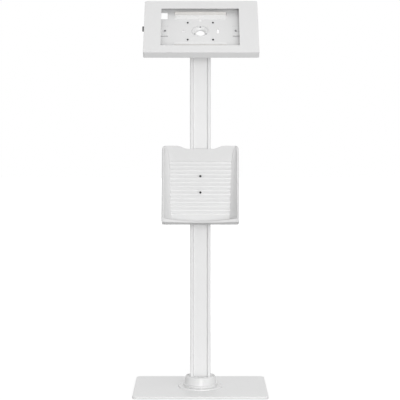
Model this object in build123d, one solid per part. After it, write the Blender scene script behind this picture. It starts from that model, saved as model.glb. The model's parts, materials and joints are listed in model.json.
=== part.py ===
from build123d import *
import math
import os

# Tablet floor stand: weighted base, aluminium column, catalogue tray and lockable tablet enclosure.
#
# Frame: origin on the floor under the middle of the base, +X to the viewer's right,
# front towards -Y, +Z up, all lengths in millimetres.
# The enclosure is modelled in its own plane (x, u, n): x to the right, u up the sloping face,
# n out of the face, with its origin on the pan floor at the middle of the screw pattern.
# The tray is modelled in its own plane (x, v, w): v up the leaning panel, w out of the panel.

# Base
base_width = 400.0
base_depth = 300.0
base_thickness = 6.0
base_corner_radius = 12.0
base_edge_round = 1.0
foot_pad_height = 2.0
foot_pad_diameter = 36.0
foot_pad_inset = 28.0

# Socket between the base and the column
socket_radius = 43.0
socket_thickness = 6.0
base_bolt_x = 22.0
base_bolt_y = 32.5
base_bolt_radius = 3.0
countersink_radius = 6.0
countersink_depth = 3.0

# Column extrusion
column_width = 61.5
column_depth = 44.0
column_length = 1008.0
column_corner_radius = 4.0
column_wall = 2.5
column_inner_round = 1.5
channel_lip_round = 1.0
channel_mouth = 45.4
channel_floor = 39.0
channel_depth = 6.0
port_x = 18.0
port_radius = 4.6
port_bore_radius = 2.1
port_screw_length = 16.0

# Cable ports in the back of the column
cable_port_width = 20.0
cable_port_height = 40.0
lower_port_rise = 96.0
upper_port_drop = 62.0
grommet_lip = 2.5
grommet_lip_thickness = 1.6
grommet_fit = 0.2

# Moulded collar round the column foot
collar_flange_radius = 66.5
collar_rim_height = 3.6
collar_groove_radius = 53.0
collar_groove_depth = 1.2
collar_step_radius = 50.5
collar_step_height = 10.0
collar_body_radius = 47.6
collar_top_radius = 46.0
collar_height = 33.5
collar_wall = 2.6
collar_rim_round = 2.0
collar_top_round = 3.0
collar_foot_wall = 1.0
collar_groove_half = 2.0
collar_step_slope = 1.5
collar_slot_length = 84.0
collar_slot_corner = 9.0
collar_slot_gap = 0.4

# Catalogue tray
tray_lean = 17.0
tray_width = 228.0
tray_length = 240.0
tray_bottom_z = 508.5
tray_column_gap = 0.3
tray_wall = 2.5
tray_depth_top = 8.0
tray_depth_bottom = 40.0
tray_depth_middle = 28.0
tray_wall_draft = 15.0
tray_rim_width = 7.0
tray_inner_round = 6.0
tray_rim_round = 1.8
tray_lip_corner = 12.0
tray_lip_middle = 3.4
tray_ear_inner = 72.0
tray_ear_drop = 9.5
tray_dip_half = 34.0
tray_ear_corner = 13.0
tray_foot_corner = 5.0
tray_foot_reach = 50.0
rib_count = 7
rib_pitch = 24.2
rib_first = 39.5
rib_height = 7.6
rib_crest = 1.8
rib_proud = 1.5
rib_root = 0.2
rib_half_length = 88.0
tray_screw_middle = 121.0
tray_screw_spacing = 49.6
tray_boss_radius = 6.5

# Tray bracket
bracket_sheet = 3.0
bracket_width = 37.6
bracket_margin = 10.0
bracket_tab = 18.0
bracket_screw_edge = 8.0
bracket_corner = 4.0

# Enclosure placement
head_tilt_rest = 45.0
pivot_y = 0.0
pivot_rise = 27.9
pivot_standoff = 34.0

# Enclosure pan
pan_sheet = 1.6
pan_width = 329.2
pan_top = 113.4
pan_bottom = -109.6
pan_wall_height = 14.0
pan_corner_radius = 5.0
vesa_pitch = 75.0
pan_bore_radius = 23.0
camera_width = 28.0
camera_height = 29.0
camera_side_inset = 38.6
camera_top_inset = 30.4
index_slot_offset = 49.0
index_slot_width = 4.2
index_slot_length = 13.0
stop_slot_offset = 52.0
stop_slot_width = 6.0
stop_slot_length = 20.0

# Front cover
cover_sheet = 1.6
cover_face_height = 19.0
cover_skirt = 3.0
cover_left_gap = 0.4
cover_side_gap = 0.4
hinge_space = 5.2
cover_corner_radius = 5.0
cover_edge_round = 1.2
window_left_margin = 50.4
window_right_margin = 56.6
window_bottom_margin = 29.8
window_top_margin = 34.2
window_corner_radius = 1.5

# Cover hinges
hinge_knuckle_radius = 2.2
hinge_pin_radius = 1.2
hinge_running_gap = 0.1
hinge_leaf_thickness = 1.2
hinge_leaf_length = 36.0
hinge_middle_length = 12.0
hinge_knuckle_gap = 0.2
hinge_axis_height = -0.4
hinge_leaf_height = 11.0
hinge_offset = 70.0

# Cam lock in the left wall of the cover
lock_height = 9.0
lock_head_radius = 8.0
lock_head_length = 5.0
lock_head_round = 1.0
lock_body_radius = 7.0
lock_body_length = 15.1
lock_plug_radius = 5.0
lock_plug_gap = 0.1
lock_neck_radius = 4.0
lock_notch_gap = 1.0
lock_clip_radius = 8.3
lock_clip_thickness = 2.0
lock_plug_sink = 0.4
cam_stub_half = 1.75
cam_eye_radius = 3.9
cam_thickness = 2.0
cam_reach = 7.8
cam_half_width = 3.5
cam_gap = 1.0
cam_screw_radius = 3.4
cam_screw_height = 1.6
catch_sheet = 1.6
catch_length = 5.6
catch_start = 4.7
catch_gap = 0.6
catch_reach = 14.0
catch_foot = 12.0
catch_lead = 0.7
keyway_width = 1.4
keyway_length = 6.2
keyway_depth = 6.0

# Support rails behind the tablet
rail_sheet = 1.5
rail_half_length = 76.5
rail_depth = 22.0
rail_height = 8.4
upper_rail_inset = 37.9
lower_rail_inset = 39.1
rail_foam_width = 5.0
rail_foam_height = 1.6
rivet_radius = 3.0
rivet_height = 1.0
rivet_inset = 14.0

# Sliding side clamps
clamp_sheet = 1.5
clamp_corner = 2.0
clamp_height = 43.0
clamp_side_inset = 37.1
clamp_length = 31.5
clamp_tab_height = 12.0
clamp_slot_inset = 4.2
clamp_slot_length = 18.4
clamp_slot_width = 4.6
clamp_screw_inset = 8.5
clamp_pad_thickness = 1.6
clamp_pad_edge = 3.0

# Swivel and tilt bracket
vesa_plate_half = 45.0
vesa_plate_thickness = 5.0
vesa_scoop_middle = 39.0
vesa_scoop_radius = 60.0
vesa_plate_corner = 5.0
hub_flange_radius = 27.0
hub_flange_thickness = 2.0
hub_shaft_radius = 24.0
hub_bore_radius = 13.2
hub_funnel_radius = 17.0
hub_funnel_depth = 3.8
hub_screw_circle = 20.4
running_gap = 0.1
swivel_washer_radius = 27.0
swivel_washer_thickness = 1.0
yoke_sheet = 3.0
yoke_half_width = 30.0
yoke_half_height = 26.0
yoke_corner = 4.0
yoke_end_radius = 12.0
yoke_root_half = 23.0
tilt_washer_thickness = 0.9
friction_washer_radius = 12.0
lug_thickness = 3.0
lug_end_radius = 13.0
lug_root_half = 17.0
tab_root = 0.1
head_plate_thickness = 4.0
head_cable_radius = 9.0
tilt_bolt_radius = 4.0
tilt_bolt_head_radius = 7.2
tilt_bolt_head_height = 5.3
tilt_nut_height = 7.0
tilt_bolt_spare = 2.5
tilt_outer_washer_radius = 8.0
tilt_outer_washer_thickness = 1.6

# Cutters reach this far past the material they cut
overcut = 1.0

# Corners nearer than this to a wanted place are taken to be there
same_place = 0.01

# Small screws
m3_radius = 1.5
m3_head_radius = 2.7
m3_head_height = 1.5
m4_radius = 2.0
m4_head_radius = 3.8
m4_head_height = 2.4
m5_radius = 2.5
m5_head_radius = 4.4
m5_head_height = 2.8
m5_nut_radius = 4.6
m5_nut_height = 4.0
screw_hole_gap = 0.2
screw_spare = 1.0
drive_recess_share = 0.5
head_round_share = 0.4
rivet_round_share = 0.6

# Derived heights and places
base_top = foot_pad_height + base_thickness
socket_top = base_top + socket_thickness
column_bottom = socket_top
column_top = column_bottom + column_length
lower_port_z = column_bottom + lower_port_rise
upper_port_z = column_top - upper_port_drop
pivot_z = column_top + head_plate_thickness + pivot_rise
column_front = -column_depth / 2
column_back = column_depth / 2
web_front = column_front + channel_depth
web_back = web_front + column_wall
wall_inner = column_back - column_wall
port_front_y = web_back + port_radius
port_back_y = wall_inner - port_radius
port_places = [
    (side * port_x, y) for side in (-1, 1) for y in (port_front_y, port_back_y)
]

tilt_sin = math.sin(math.radians(head_tilt_rest))
tilt_cos = math.cos(math.radians(head_tilt_rest))
head_normal = (0, -tilt_cos, tilt_sin)
head_origin = (
    0,
    pivot_y - pivot_standoff * tilt_cos,
    pivot_z + pivot_standoff * tilt_sin,
)
head_plane = Plane(origin=head_origin, x_dir=(1, 0, 0), z_dir=head_normal)

lean_sin = math.sin(math.radians(tray_lean))
lean_cos = math.cos(math.radians(tray_lean))
tray_dip_v = tray_length - tray_ear_drop
tray_bottom_y = column_front - tray_column_gap - tray_dip_v * lean_sin
tray_plane = Plane(
    origin=(0, tray_bottom_y, tray_bottom_z),
    x_dir=(1, 0, 0),
    z_dir=(0, -lean_cos, lean_sin),
)

vesa_back = -pan_sheet - vesa_plate_thickness
yoke_front = vesa_back - running_gap - swivel_washer_thickness
yoke_back = yoke_front - yoke_sheet
hub_flange_top = -pan_sheet - running_gap
hub_flange_bottom = hub_flange_top - hub_flange_thickness
cheek_inner = yoke_half_width - yoke_sheet
lug_outer = cheek_inner - tilt_washer_thickness - running_gap
lug_inner = lug_outer - lug_thickness

pan_right = pan_width / 2
pan_left = -pan_right
cover_left = pan_left - cover_left_gap - cover_sheet
cover_right = pan_right + hinge_space + cover_sheet
cover_bottom = pan_bottom - cover_side_gap - cover_sheet
cover_top = pan_top + cover_side_gap + cover_sheet
cover_under = cover_face_height - cover_sheet
hinge_axis_x = pan_right + hinge_space / 2
window_left = cover_left + window_left_margin
window_right = cover_right - window_right_margin
window_bottom = cover_bottom + window_bottom_margin
window_top = cover_top - window_top_margin
camera_left = pan_left + camera_side_inset
camera_right = camera_left + camera_width
camera_top = pan_top - camera_top_inset
camera_bottom = camera_top - camera_height
upper_rail_edge = pan_top - upper_rail_inset
lower_rail_edge = pan_bottom + lower_rail_inset
clamp_outer = pan_right - clamp_side_inset
clamp_inner = clamp_outer - clamp_length
clamp_screw_x = clamp_inner + clamp_screw_inset


def place_head(shape):
    """Move a shape from the enclosure's plane into the stand's frame."""
    return head_plane.location * shape


def place_tray(shape):
    """Move a shape from the tray's plane into the stand's frame."""
    return tray_plane.location * shape


def block(low, high):
    """Box between two opposite corners."""
    size = [b - a for a, b in zip(low, high)]
    middle = [(a + b) / 2 for a, b in zip(low, high)]
    return Pos(*middle) * Box(*size)


def rod(radius, bottom, top, x=0.0, y=0.0):
    """Cylinder along the third axis between two heights."""
    return Pos(x, y, (bottom + top) / 2) * Cylinder(radius, top - bottom)


def rod_x(radius, start, end, y=0.0, z=0.0):
    """Cylinder along X between two places."""
    return Pos((start + end) / 2, y, z) * Rot(0, 90, 0) * Cylinder(radius, abs(end - start))


def rod_y(radius, start, end, x=0.0, z=0.0):
    """Cylinder along Y between two places."""
    return Pos(x, (start + end) / 2, z) * Rot(90, 0, 0) * Cylinder(radius, abs(end - start))


def plate(width, depth, corner, bottom, thickness, x=0.0, y=0.0):
    """Flat plate with rounded corners, lying square to the third axis."""
    return Pos(x, y, bottom) * extrude(RectangleRounded(width, depth, corner), thickness)


def slot(length, width, bottom, top, x=0.0, y=0.0, turn=0.0):
    """Round-ended slot cutter through a plate."""
    return Pos(x, y, bottom) * Rot(0, 0, turn) * extrude(SlotOverall(length, width), top - bottom)


def pan_head_screw(radius, head_radius, head_height, seat, tip, x=0.0, y=0.0):
    """Screw standing along the third axis: head above its seat, cross drive in the head."""
    head = rod(head_radius, seat, seat + head_height, x, y)
    head = fillet(head.edges().sort_by(Axis.Z)[-1], head_height * head_round_share)
    arm = head_radius * drive_recess_share
    drive = plate(2 * arm, arm / 2, arm / 8, seat + head_height / 2, head_height, x, y)
    drive += plate(arm / 2, 2 * arm, arm / 8, seat + head_height / 2, head_height, x, y)
    return head + rod(radius, tip, seat, x, y) - drive


def hex_nut(radius, bore, bottom, height, x=0.0, y=0.0):
    """Hexagon nut whose bore lies along the third axis."""
    body = Pos(x, y, bottom) * extrude(RegularPolygon(radius, 6), height)
    return body - rod(bore, bottom, bottom + height, x, y)


# Base, feet and foot socket

def make_base_plate():
    """Steel base plate with rounded corners and countersunk bolt holes from below."""
    body = plate(base_width, base_depth, base_corner_radius, foot_pad_height, base_thickness)
    body = fillet(body.edges().group_by(Axis.Z)[-1], base_edge_round)
    for x, y in base_bolt_places:
        body -= rod(base_bolt_radius + screw_hole_gap, foot_pad_height, base_top, x, y)
        body -= countersink(foot_pad_height, x, y, countersink_radius + screw_hole_gap)
    return body


def countersink(bottom, x, y, radius):
    """Cone of a countersunk head, wide end down."""
    cone = Cone(radius, radius - countersink_depth, countersink_depth)
    return Pos(x, y, bottom + countersink_depth / 2) * cone


base_bolt_places = [
    (sx * base_bolt_x, sy * base_bolt_y) for sx in (-1, 1) for sy in (-1, 1)
]


def make_base_feet():
    """Four round rubber pads under the corners of the plate."""
    reach_x = base_width / 2 - foot_pad_inset
    reach_y = base_depth / 2 - foot_pad_inset
    pads = []
    for sx in (-1, 1):
        for sy in (-1, 1):
            pads.append(rod(foot_pad_diameter / 2, 0, foot_pad_height, sx * reach_x, sy * reach_y))
    return pads


def make_foot_socket():
    """Round steel flange that joins the column end to the base plate."""
    body = rod(socket_radius, base_top, socket_top)
    for x, y in base_bolt_places:
        body -= rod(base_bolt_radius, base_top, socket_top, x, y)
    for x, y in port_places:
        body -= rod(m5_radius + screw_hole_gap, base_top, socket_top, x, y)
        body -= rod(m5_head_radius + screw_hole_gap, base_top, base_top + m5_head_height, x, y)
    return body


def make_base_bolts():
    """Countersunk bolts from under the base plate into the socket flange."""
    bolts = []
    for x, y in base_bolt_places:
        shank = rod(base_bolt_radius, foot_pad_height, socket_top, x, y)
        bolts.append(shank + countersink(foot_pad_height, x, y, countersink_radius))
    return bolts


def make_socket_screws():
    """Screws through the socket flange into the screw ports of the column."""
    screws = []
    for x, y in port_places:
        head = rod(m5_head_radius, base_top, base_top + m5_head_height, x, y)
        upper = rod(m5_radius, base_top, socket_top, x, y)
        thread = rod(port_bore_radius, socket_top, socket_top + port_screw_length, x, y)
        screws.append(head + upper + thread)
    return screws


# Column

def column_outline():
    """Outer outline with the shallow front channel between two flanges."""
    half = column_width / 2
    mouth = channel_mouth / 2
    floor = channel_floor / 2
    points = [
        (-half, column_back), (-half, column_front), (-mouth, column_front),
        (-floor, web_front), (floor, web_front), (mouth, column_front),
        (half, column_front), (half, column_back),
    ]
    outline = make_face(Polyline(*points, close=True))
    corners = outline.vertices().filter_by(lambda v: abs(abs(v.X) - half) < same_place)
    outline = fillet(corners, column_corner_radius)
    lips = outline.vertices().filter_by(lambda v: abs(abs(v.X) - mouth) < same_place)
    return fillet(lips, channel_lip_round)


def make_column():
    """Aluminium extrusion: hollow box with front channel, screw ports and cable ports."""
    body = extrude(column_outline(), column_length)
    hollow_width = column_width - 2 * column_wall
    hollow_depth = wall_inner - web_back
    hollow = RectangleRounded(hollow_width, hollow_depth, column_inner_round)
    body -= Pos(0, (wall_inner + web_back) / 2, 0) * extrude(hollow, column_length)
    for x, y in port_places:
        wall_side = web_back if y == port_front_y else wall_inner
        low = min(y, wall_side - column_wall / 2)
        high = max(y, wall_side + column_wall / 2)
        body += block((x - port_radius, low, 0), (x + port_radius, high, column_length))
        body += rod(port_radius, 0, column_length, x, y)
    for x, y in port_places:
        body -= rod(port_bore_radius, 0, column_length, x, y)
    body = Pos(0, 0, column_bottom) * body
    for z in (lower_port_z, upper_port_z):
        body -= cable_port(z, 0.0, wall_inner - overcut, column_back + overcut)
    for z in bracket_screw_heights():
        body -= rod_y(m5_radius + screw_hole_gap, web_front - overcut, web_back + overcut, 0, z)
    return body


def cable_port(z, shrink, front, back):
    """Round-ended upright cutter of a cable port in the back wall."""
    shape = SlotOverall(cable_port_height - 2 * shrink, cable_port_width - 2 * shrink, rotation=90)
    upright = Plane(origin=(0, back, z), x_dir=(1, 0, 0), z_dir=(0, -1, 0))
    return upright.location * extrude(shape, back - front)


def make_cable_grommets():
    """Rubber rings that line the two cable ports."""
    rings = []
    for z in (lower_port_z, upper_port_z):
        ring = cable_port(z, grommet_fit, wall_inner, column_back)
        back = column_back + grommet_lip_thickness
        ring += cable_port(z, -grommet_lip, column_back, back)
        ring += cable_port(z, -grommet_lip, wall_inner - grommet_lip_thickness, wall_inner)
        ring -= cable_port(z, grommet_lip, wall_inner - 2 * grommet_lip_thickness, back + overcut)
        rings.append(ring)
    return rings


# Collar

def make_foot_collar():
    """Turned two-step cover round the column foot, open beside the column."""
    rim = collar_rim_height
    flange = collar_flange_radius
    top = collar_height
    under = top - collar_wall
    shoulder = top - collar_top_round
    outer_bottom = (collar_body_radius, collar_step_height)
    inner_top = (collar_top_radius - collar_wall, under)
    inner_bottom = (collar_body_radius - collar_wall, collar_step_height)
    foot = (collar_body_radius - collar_foot_wall, 0)
    with BuildPart() as turned:
        with BuildSketch(Plane.XZ):
            with BuildLine():
                Polyline(foot, (flange, 0), (flange, rim - collar_rim_round))
                RadiusArc((flange, rim - collar_rim_round), (flange - collar_rim_round, rim),
                          -collar_rim_round)
                Polyline(
                    (flange - collar_rim_round, rim),
                    (collar_groove_radius + collar_groove_half, rim),
                    (collar_groove_radius, rim - collar_groove_depth),
                    (collar_step_radius, rim),
                    (collar_step_radius, collar_step_height - collar_step_slope),
                    outer_bottom,
                    (collar_top_radius, shoulder),
                )
                RadiusArc((collar_top_radius, shoulder),
                          (collar_top_radius - collar_top_round, top), -collar_top_round)
                Polyline(
                    (collar_top_radius - collar_top_round, top), (0, top), (0, under),
                    inner_top, inner_bottom, foot,
                )
            make_face()
        revolve(axis=Axis.Z)
    body = Pos(0, 0, base_top) * turned.part
    slot_width = column_depth + 2 * collar_slot_gap
    return body - plate(collar_slot_length, slot_width, collar_slot_corner,
                        base_top + collar_height / 2, collar_height)


# Tray

def tray_section(depth):
    """Cross-section of the tray for one depth: panel, raked walls, rims and outer skirts."""
    rake = math.tan(math.radians(tray_wall_draft))
    slant = tray_wall / math.cos(math.radians(tray_wall_draft))
    half = tray_width / 2
    brim = half - tray_rim_width
    inner = brim - (depth - tray_wall) * rake
    outer = brim - depth * rake + slant
    under = brim - tray_wall * rake + slant
    right = [
        (outer, 0), (under, depth - tray_wall), (half - tray_wall, depth - tray_wall),
        (half - tray_wall, 0), (half, 0), (half, depth), (brim, depth), (inner, tray_wall),
    ]
    left = [(-x, w) for x, w in reversed(right)]
    face = make_face(Polyline(*(right + left), close=True))
    bends = face.vertices().filter_by(
        lambda p: abs(abs(p.X) - inner) < same_place and p.Y > same_place
    )
    face = fillet(bends, min(tray_inner_round, (depth - tray_wall) / 2))
    rims = face.vertices().filter_by(
        lambda p: abs(abs(p.X) - half) < same_place and p.Y > depth - same_place
    )
    return fillet(rims, tray_rim_round)


def tray_hull_section(depth):
    """Closed outline between the outer skirts, with the same rounded rims."""
    half = tray_width / 2
    face = make_face(Polyline((-half, 0), (half, 0), (half, depth), (-half, depth), close=True))
    return fillet(face.vertices().group_by(Axis.Y)[-1], tray_rim_round)


def tray_loft(section):
    """Run a tray cross-section from the deep bottom to the shallow top."""
    bottom_face = Rot(90, 0, 0) * section(tray_depth_bottom)
    top_face = Pos(0, tray_length, 0) * Rot(90, 0, 0) * section(tray_depth_top)
    return loft([bottom_face, top_face], ruled=True)


def tray_outline():
    """Front outline of the tray: square foot, two ears and the dip between them."""
    half = tray_width / 2
    top = tray_length
    with BuildSketch() as outline:
        with BuildLine():
            Line((-half, 0), (half, 0))
            Line((half, 0), (half, top - tray_ear_corner))
            RadiusArc((half, top - tray_ear_corner), (half - tray_ear_corner, top), -tray_ear_corner)
            Line((half - tray_ear_corner, top), (tray_ear_inner, top))
            Spline(
                (tray_ear_inner, top), (tray_dip_half, tray_dip_v), tangents=((-1, 0), (-1, 0))
            )
            Line((tray_dip_half, tray_dip_v), (-tray_dip_half, tray_dip_v))
            Spline(
                (-tray_dip_half, tray_dip_v), (-tray_ear_inner, top), tangents=((-1, 0), (-1, 0))
            )
            Line((-tray_ear_inner, top), (-half + tray_ear_corner, top))
            RadiusArc(
                (-half + tray_ear_corner, top), (-half, top - tray_ear_corner), -tray_ear_corner
            )
            Line((-half, top - tray_ear_corner), (-half, 0))
        make_face()
    feet = outline.sketch.vertices().group_by(Axis.Y)[0]
    return fillet(feet, tray_foot_corner)


def tray_front_radius():
    """Radius of the hollow front edge, from its depth at the sides and in the middle."""
    chord = tray_width / 2
    rise = tray_depth_bottom - tray_depth_middle
    return (chord ** 2 + rise ** 2) / (2 * rise)


def tray_lip():
    """Front lip: follows the hollow front edge, high at the corners, low in the middle."""
    radius = tray_front_radius()
    centre_w = tray_depth_middle + radius
    tall = tray_lip_corner * 2
    ring = Pos(0, tall / 2, centre_w) * Rot(90, 0, 0) * Cylinder(radius + tray_wall, tall)
    chord = tray_width / 2
    rise = tray_lip_corner - tray_lip_middle
    sweep = (chord ** 2 + rise ** 2) / (2 * rise)
    above = Pos(0, tray_lip_middle + sweep, 0) * Cylinder(sweep, 3 * tray_depth_bottom)
    reach = tray_depth_bottom + overcut
    band = tray_loft(tray_hull_section) & block((-chord, 0, 0), (chord, tray_lip_corner, reach))
    return (band & ring) - above


def tray_rib(v):
    """One moulded rib: long upper slope, short lower slope."""
    points = [
        (0, 0), (0, -rib_root), (rib_height, -rib_root), (rib_height, 0), (rib_crest, rib_proud),
    ]
    side = Plane(origin=(-rib_half_length, v, tray_wall), x_dir=(0, 1, 0), z_dir=(1, 0, 0))
    return side.location * extrude(make_face(Polyline(*points, close=True)), 2 * rib_half_length)


def tray_screw_heights():
    """Places of the two tray screws up the panel."""
    half = tray_screw_spacing / 2
    return [tray_screw_middle - half, tray_screw_middle + half]


def make_tray():
    """Moulded catalogue tray with raked walls, rolled rims, ribs, ears and front lip."""
    body = tray_loft(tray_section)
    chord = tray_width / 2
    reach = tray_depth_bottom + overcut
    body += tray_loft(tray_hull_section) & block((-chord, 0, 0), (chord, tray_wall, reach))
    body += tray_lip()
    radius = tray_front_radius()
    front = Pos(0, 0, tray_depth_middle + radius) * Rot(90, 0, 0) * Cylinder(radius, tray_length)
    low = (-chord - overcut, -overcut, 0)
    body -= front & block(low, (chord + overcut, tray_foot_reach, reach))
    body &= extrude(tray_outline(), reach)
    for index in range(rib_count):
        body += tray_rib(rib_first + index * rib_pitch)
    for v in tray_screw_heights():
        body += rod(tray_boss_radius, tray_wall - rib_root, tray_wall + rib_proud, 0, v)
        body -= rod(m5_radius + screw_hole_gap, -overcut, tray_wall + rib_proud + overcut, 0, v)
    return body


def make_tray_screws():
    """Dark screws that hold the tray on its bracket."""
    seat = tray_wall + rib_proud
    tip = -bracket_sheet - m5_nut_height - screw_spare
    return [
        pan_head_screw(m5_radius, m5_head_radius, m5_head_height, seat, tip, 0, v)
        for v in tray_screw_heights()
    ]


def make_tray_weld_nuts():
    """Nuts welded behind the sloping face of the tray bracket."""
    bottom = -bracket_sheet - m5_nut_height
    return [
        hex_nut(m5_nut_radius, m5_radius, bottom, m5_nut_height, 0, v)
        for v in tray_screw_heights()
    ]


# Tray bracket

def bracket_range():
    """Lower and upper end of the sloping bracket face, up the tray panel."""
    low, high = tray_screw_heights()
    return low - bracket_margin, high + bracket_margin


def bracket_world(v):
    """Point (y, z) on the back of the tray panel at a place up the panel."""
    return tray_bottom_y + v * lean_sin, tray_bottom_z + v * lean_cos


def bracket_foot_range():
    """Lowest and highest end of the upright bracket foot on the column."""
    low, high = bracket_range()
    return bracket_world(low)[1] - bracket_tab, bracket_world(high)[1] + bracket_tab


def bracket_screw_heights():
    """Heights of the two screws that hold the bracket on the column web."""
    low, high = bracket_foot_range()
    return [low + bracket_screw_edge, high - bracket_screw_edge]


def make_tray_bracket():
    """Folded steel wedge between the column and the leaning tray."""
    low, high = bracket_range()
    foot_low, foot_high = bracket_foot_range()
    half = bracket_width / 2
    foot_middle = (foot_low + foot_high) / 2
    foot = Plane(origin=(0, web_front, foot_middle), x_dir=(1, 0, 0), z_dir=(0, -1, 0))
    body = foot.location * extrude(
        RectangleRounded(bracket_width, foot_high - foot_low, bracket_corner), bracket_sheet
    )
    body += place_tray(block((-half, low, -bracket_sheet), (half, high, 0)))
    y_low, z_low = bracket_world(low)
    y_high, z_high = bracket_world(high)
    rear_low = (y_low + bracket_sheet * lean_cos, z_low - bracket_sheet * lean_sin)
    rear_high = (y_high + bracket_sheet * lean_cos, z_high - bracket_sheet * lean_sin)
    side = [
        (web_front, rear_low[1]), rear_low, (y_low, z_low), (y_high, z_high),
        rear_high, (web_front, rear_high[1]),
    ]
    cheek = make_face(Polyline(*side, close=True))
    for x in (-half, half - bracket_sheet):
        upright = Plane(origin=(x, 0, 0), x_dir=(0, 1, 0), z_dir=(1, 0, 0))
        body += upright.location * extrude(cheek, bracket_sheet)
    for v in tray_screw_heights():
        hole = rod(m5_radius + screw_hole_gap, -bracket_sheet - overcut, overcut, 0, v)
        body -= place_tray(hole)
    for z in bracket_screw_heights():
        front = web_front - bracket_sheet - overcut
        body -= rod_y(m5_radius + screw_hole_gap, front, web_front + overcut, 0, z)
    return body


def make_bracket_screws():
    """Screws through the bracket foot and the column web."""
    front = web_front - bracket_sheet
    face = Plane(origin=(0, front, 0), x_dir=(1, 0, 0), z_dir=(0, -1, 0))
    tip = -(bracket_sheet + column_wall + m5_nut_height + screw_spare)
    return [
        face.location * pan_head_screw(m5_radius, m5_head_radius, m5_head_height, 0, tip, 0, z)
        for z in bracket_screw_heights()
    ]


def make_bracket_nuts():
    """Nuts on the inner face of the column web."""
    face = Plane(origin=(0, web_back + m5_nut_height, 0), x_dir=(1, 0, 0), z_dir=(0, -1, 0))
    return [
        face.location * hex_nut(m5_nut_radius, m5_radius, 0, m5_nut_height, 0, z)
        for z in bracket_screw_heights()
    ]


# Column head and tilt bracket

def upright_tab(root_half, root, centre, end_radius):
    """Tab outline: straight root that narrows to a round end about a centre."""
    tab = make_face(
        Polyline(
            (-root_half, root), (root_half, root), (end_radius, centre), (-end_radius, centre),
            close=True,
        )
    )
    return tab + Pos(0, centre, 0) * Circle(end_radius)


def make_head_bracket():
    """Fixed fork on the column end: end plate with two upright lugs."""
    plate_top = column_top + head_plate_thickness
    body = plate(column_width, column_depth, column_corner_radius, column_top,
                 head_plate_thickness)
    tab = upright_tab(lug_root_half, plate_top - tab_root, pivot_z, lug_end_radius)
    tab -= Pos(0, pivot_z, 0) * Circle(tilt_bolt_radius + running_gap / 2)
    for x in (-lug_outer, lug_inner):
        upright = Plane(origin=(x, pivot_y, 0), x_dir=(0, 1, 0), z_dir=(1, 0, 0))
        body += upright.location * extrude(tab, lug_thickness)
    middle = (port_front_y + port_back_y) / 2
    body -= rod(head_cable_radius, column_top - overcut, plate_top + overcut, 0, middle)
    for x, y in port_places:
        body -= rod(m5_radius + screw_hole_gap, column_top - overcut, plate_top + overcut, x, y)
    return body


def make_head_bracket_screws():
    """Screws through the end plate into the screw ports of the column."""
    seat = column_top + head_plate_thickness
    screws = []
    for x, y in port_places:
        screw = pan_head_screw(
            port_bore_radius, m5_head_radius, m5_head_height, seat, column_top - port_screw_length,
            x, y,
        )
        screws.append(screw)
    return screws


def make_tilt_bolt():
    """Through bolt of the tilt joint, along X."""
    seat = yoke_half_width + running_gap + tilt_outer_washer_thickness
    tip = seat + tilt_nut_height + tilt_bolt_spare
    head = Rot(0, 90, 0) * extrude(RegularPolygon(tilt_bolt_head_radius, 6), tilt_bolt_head_height)
    head = Pos(-seat - tilt_bolt_head_height, pivot_y, pivot_z) * head
    return head + rod_x(tilt_bolt_radius, -seat, tip, pivot_y, pivot_z)


def make_tilt_nut():
    """Locking nut of the tilt joint."""
    seat = yoke_half_width + running_gap + tilt_outer_washer_thickness
    nut = hex_nut(tilt_bolt_head_radius, tilt_bolt_radius, 0, tilt_nut_height)
    return Pos(seat, pivot_y, pivot_z) * Rot(0, 90, 0) * nut


def washer_x(outer, inner, start, end):
    """Flat ring round the tilt axis."""
    ring = rod_x(outer, start, end, pivot_y, pivot_z)
    return ring - rod_x(inner, start - overcut, end + overcut, pivot_y, pivot_z)


def make_tilt_washers():
    """Steel washers under the bolt head and the nut."""
    start = yoke_half_width + running_gap
    end = start + tilt_outer_washer_thickness
    return [
        washer_x(tilt_outer_washer_radius, tilt_bolt_radius, start, end),
        washer_x(tilt_outer_washer_radius, tilt_bolt_radius, -end, -start),
    ]


def make_friction_washers():
    """Friction washers between the fork lugs and the yoke cheeks."""
    end = lug_outer + tilt_washer_thickness
    return [
        washer_x(friction_washer_radius, tilt_bolt_radius, lug_outer, end),
        washer_x(friction_washer_radius, tilt_bolt_radius, -end, -lug_outer),
    ]


def hub_screw_places():
    """Three places on the hub screw circle, the first at the top."""
    places = []
    for turn in (90, 210, 330):
        angle = math.radians(turn)
        places.append((hub_screw_circle * math.cos(angle), hub_screw_circle * math.sin(angle)))
    return places


def make_tilt_yoke():
    """Folded yoke behind the enclosure: face plate and two cheeks to the tilt bolt."""
    body = plate(2 * yoke_half_width, 2 * yoke_half_height, yoke_corner, yoke_back, yoke_sheet)
    cheek = upright_tab(yoke_root_half, yoke_back + tab_root, -pivot_standoff, yoke_end_radius)
    cheek -= Pos(0, -pivot_standoff, 0) * Circle(tilt_bolt_radius + running_gap)
    for x in (-yoke_half_width, cheek_inner):
        upright = Plane(origin=(x, 0, 0), x_dir=(0, 1, 0), z_dir=(1, 0, 0))
        body += upright.location * extrude(cheek, yoke_sheet)
    body -= rod(hub_bore_radius, yoke_back - overcut, yoke_front + overcut)
    for x, y in hub_screw_places():
        body -= rod(m3_radius, yoke_back - overcut, yoke_front + overcut, x, y)
    return body


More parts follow.
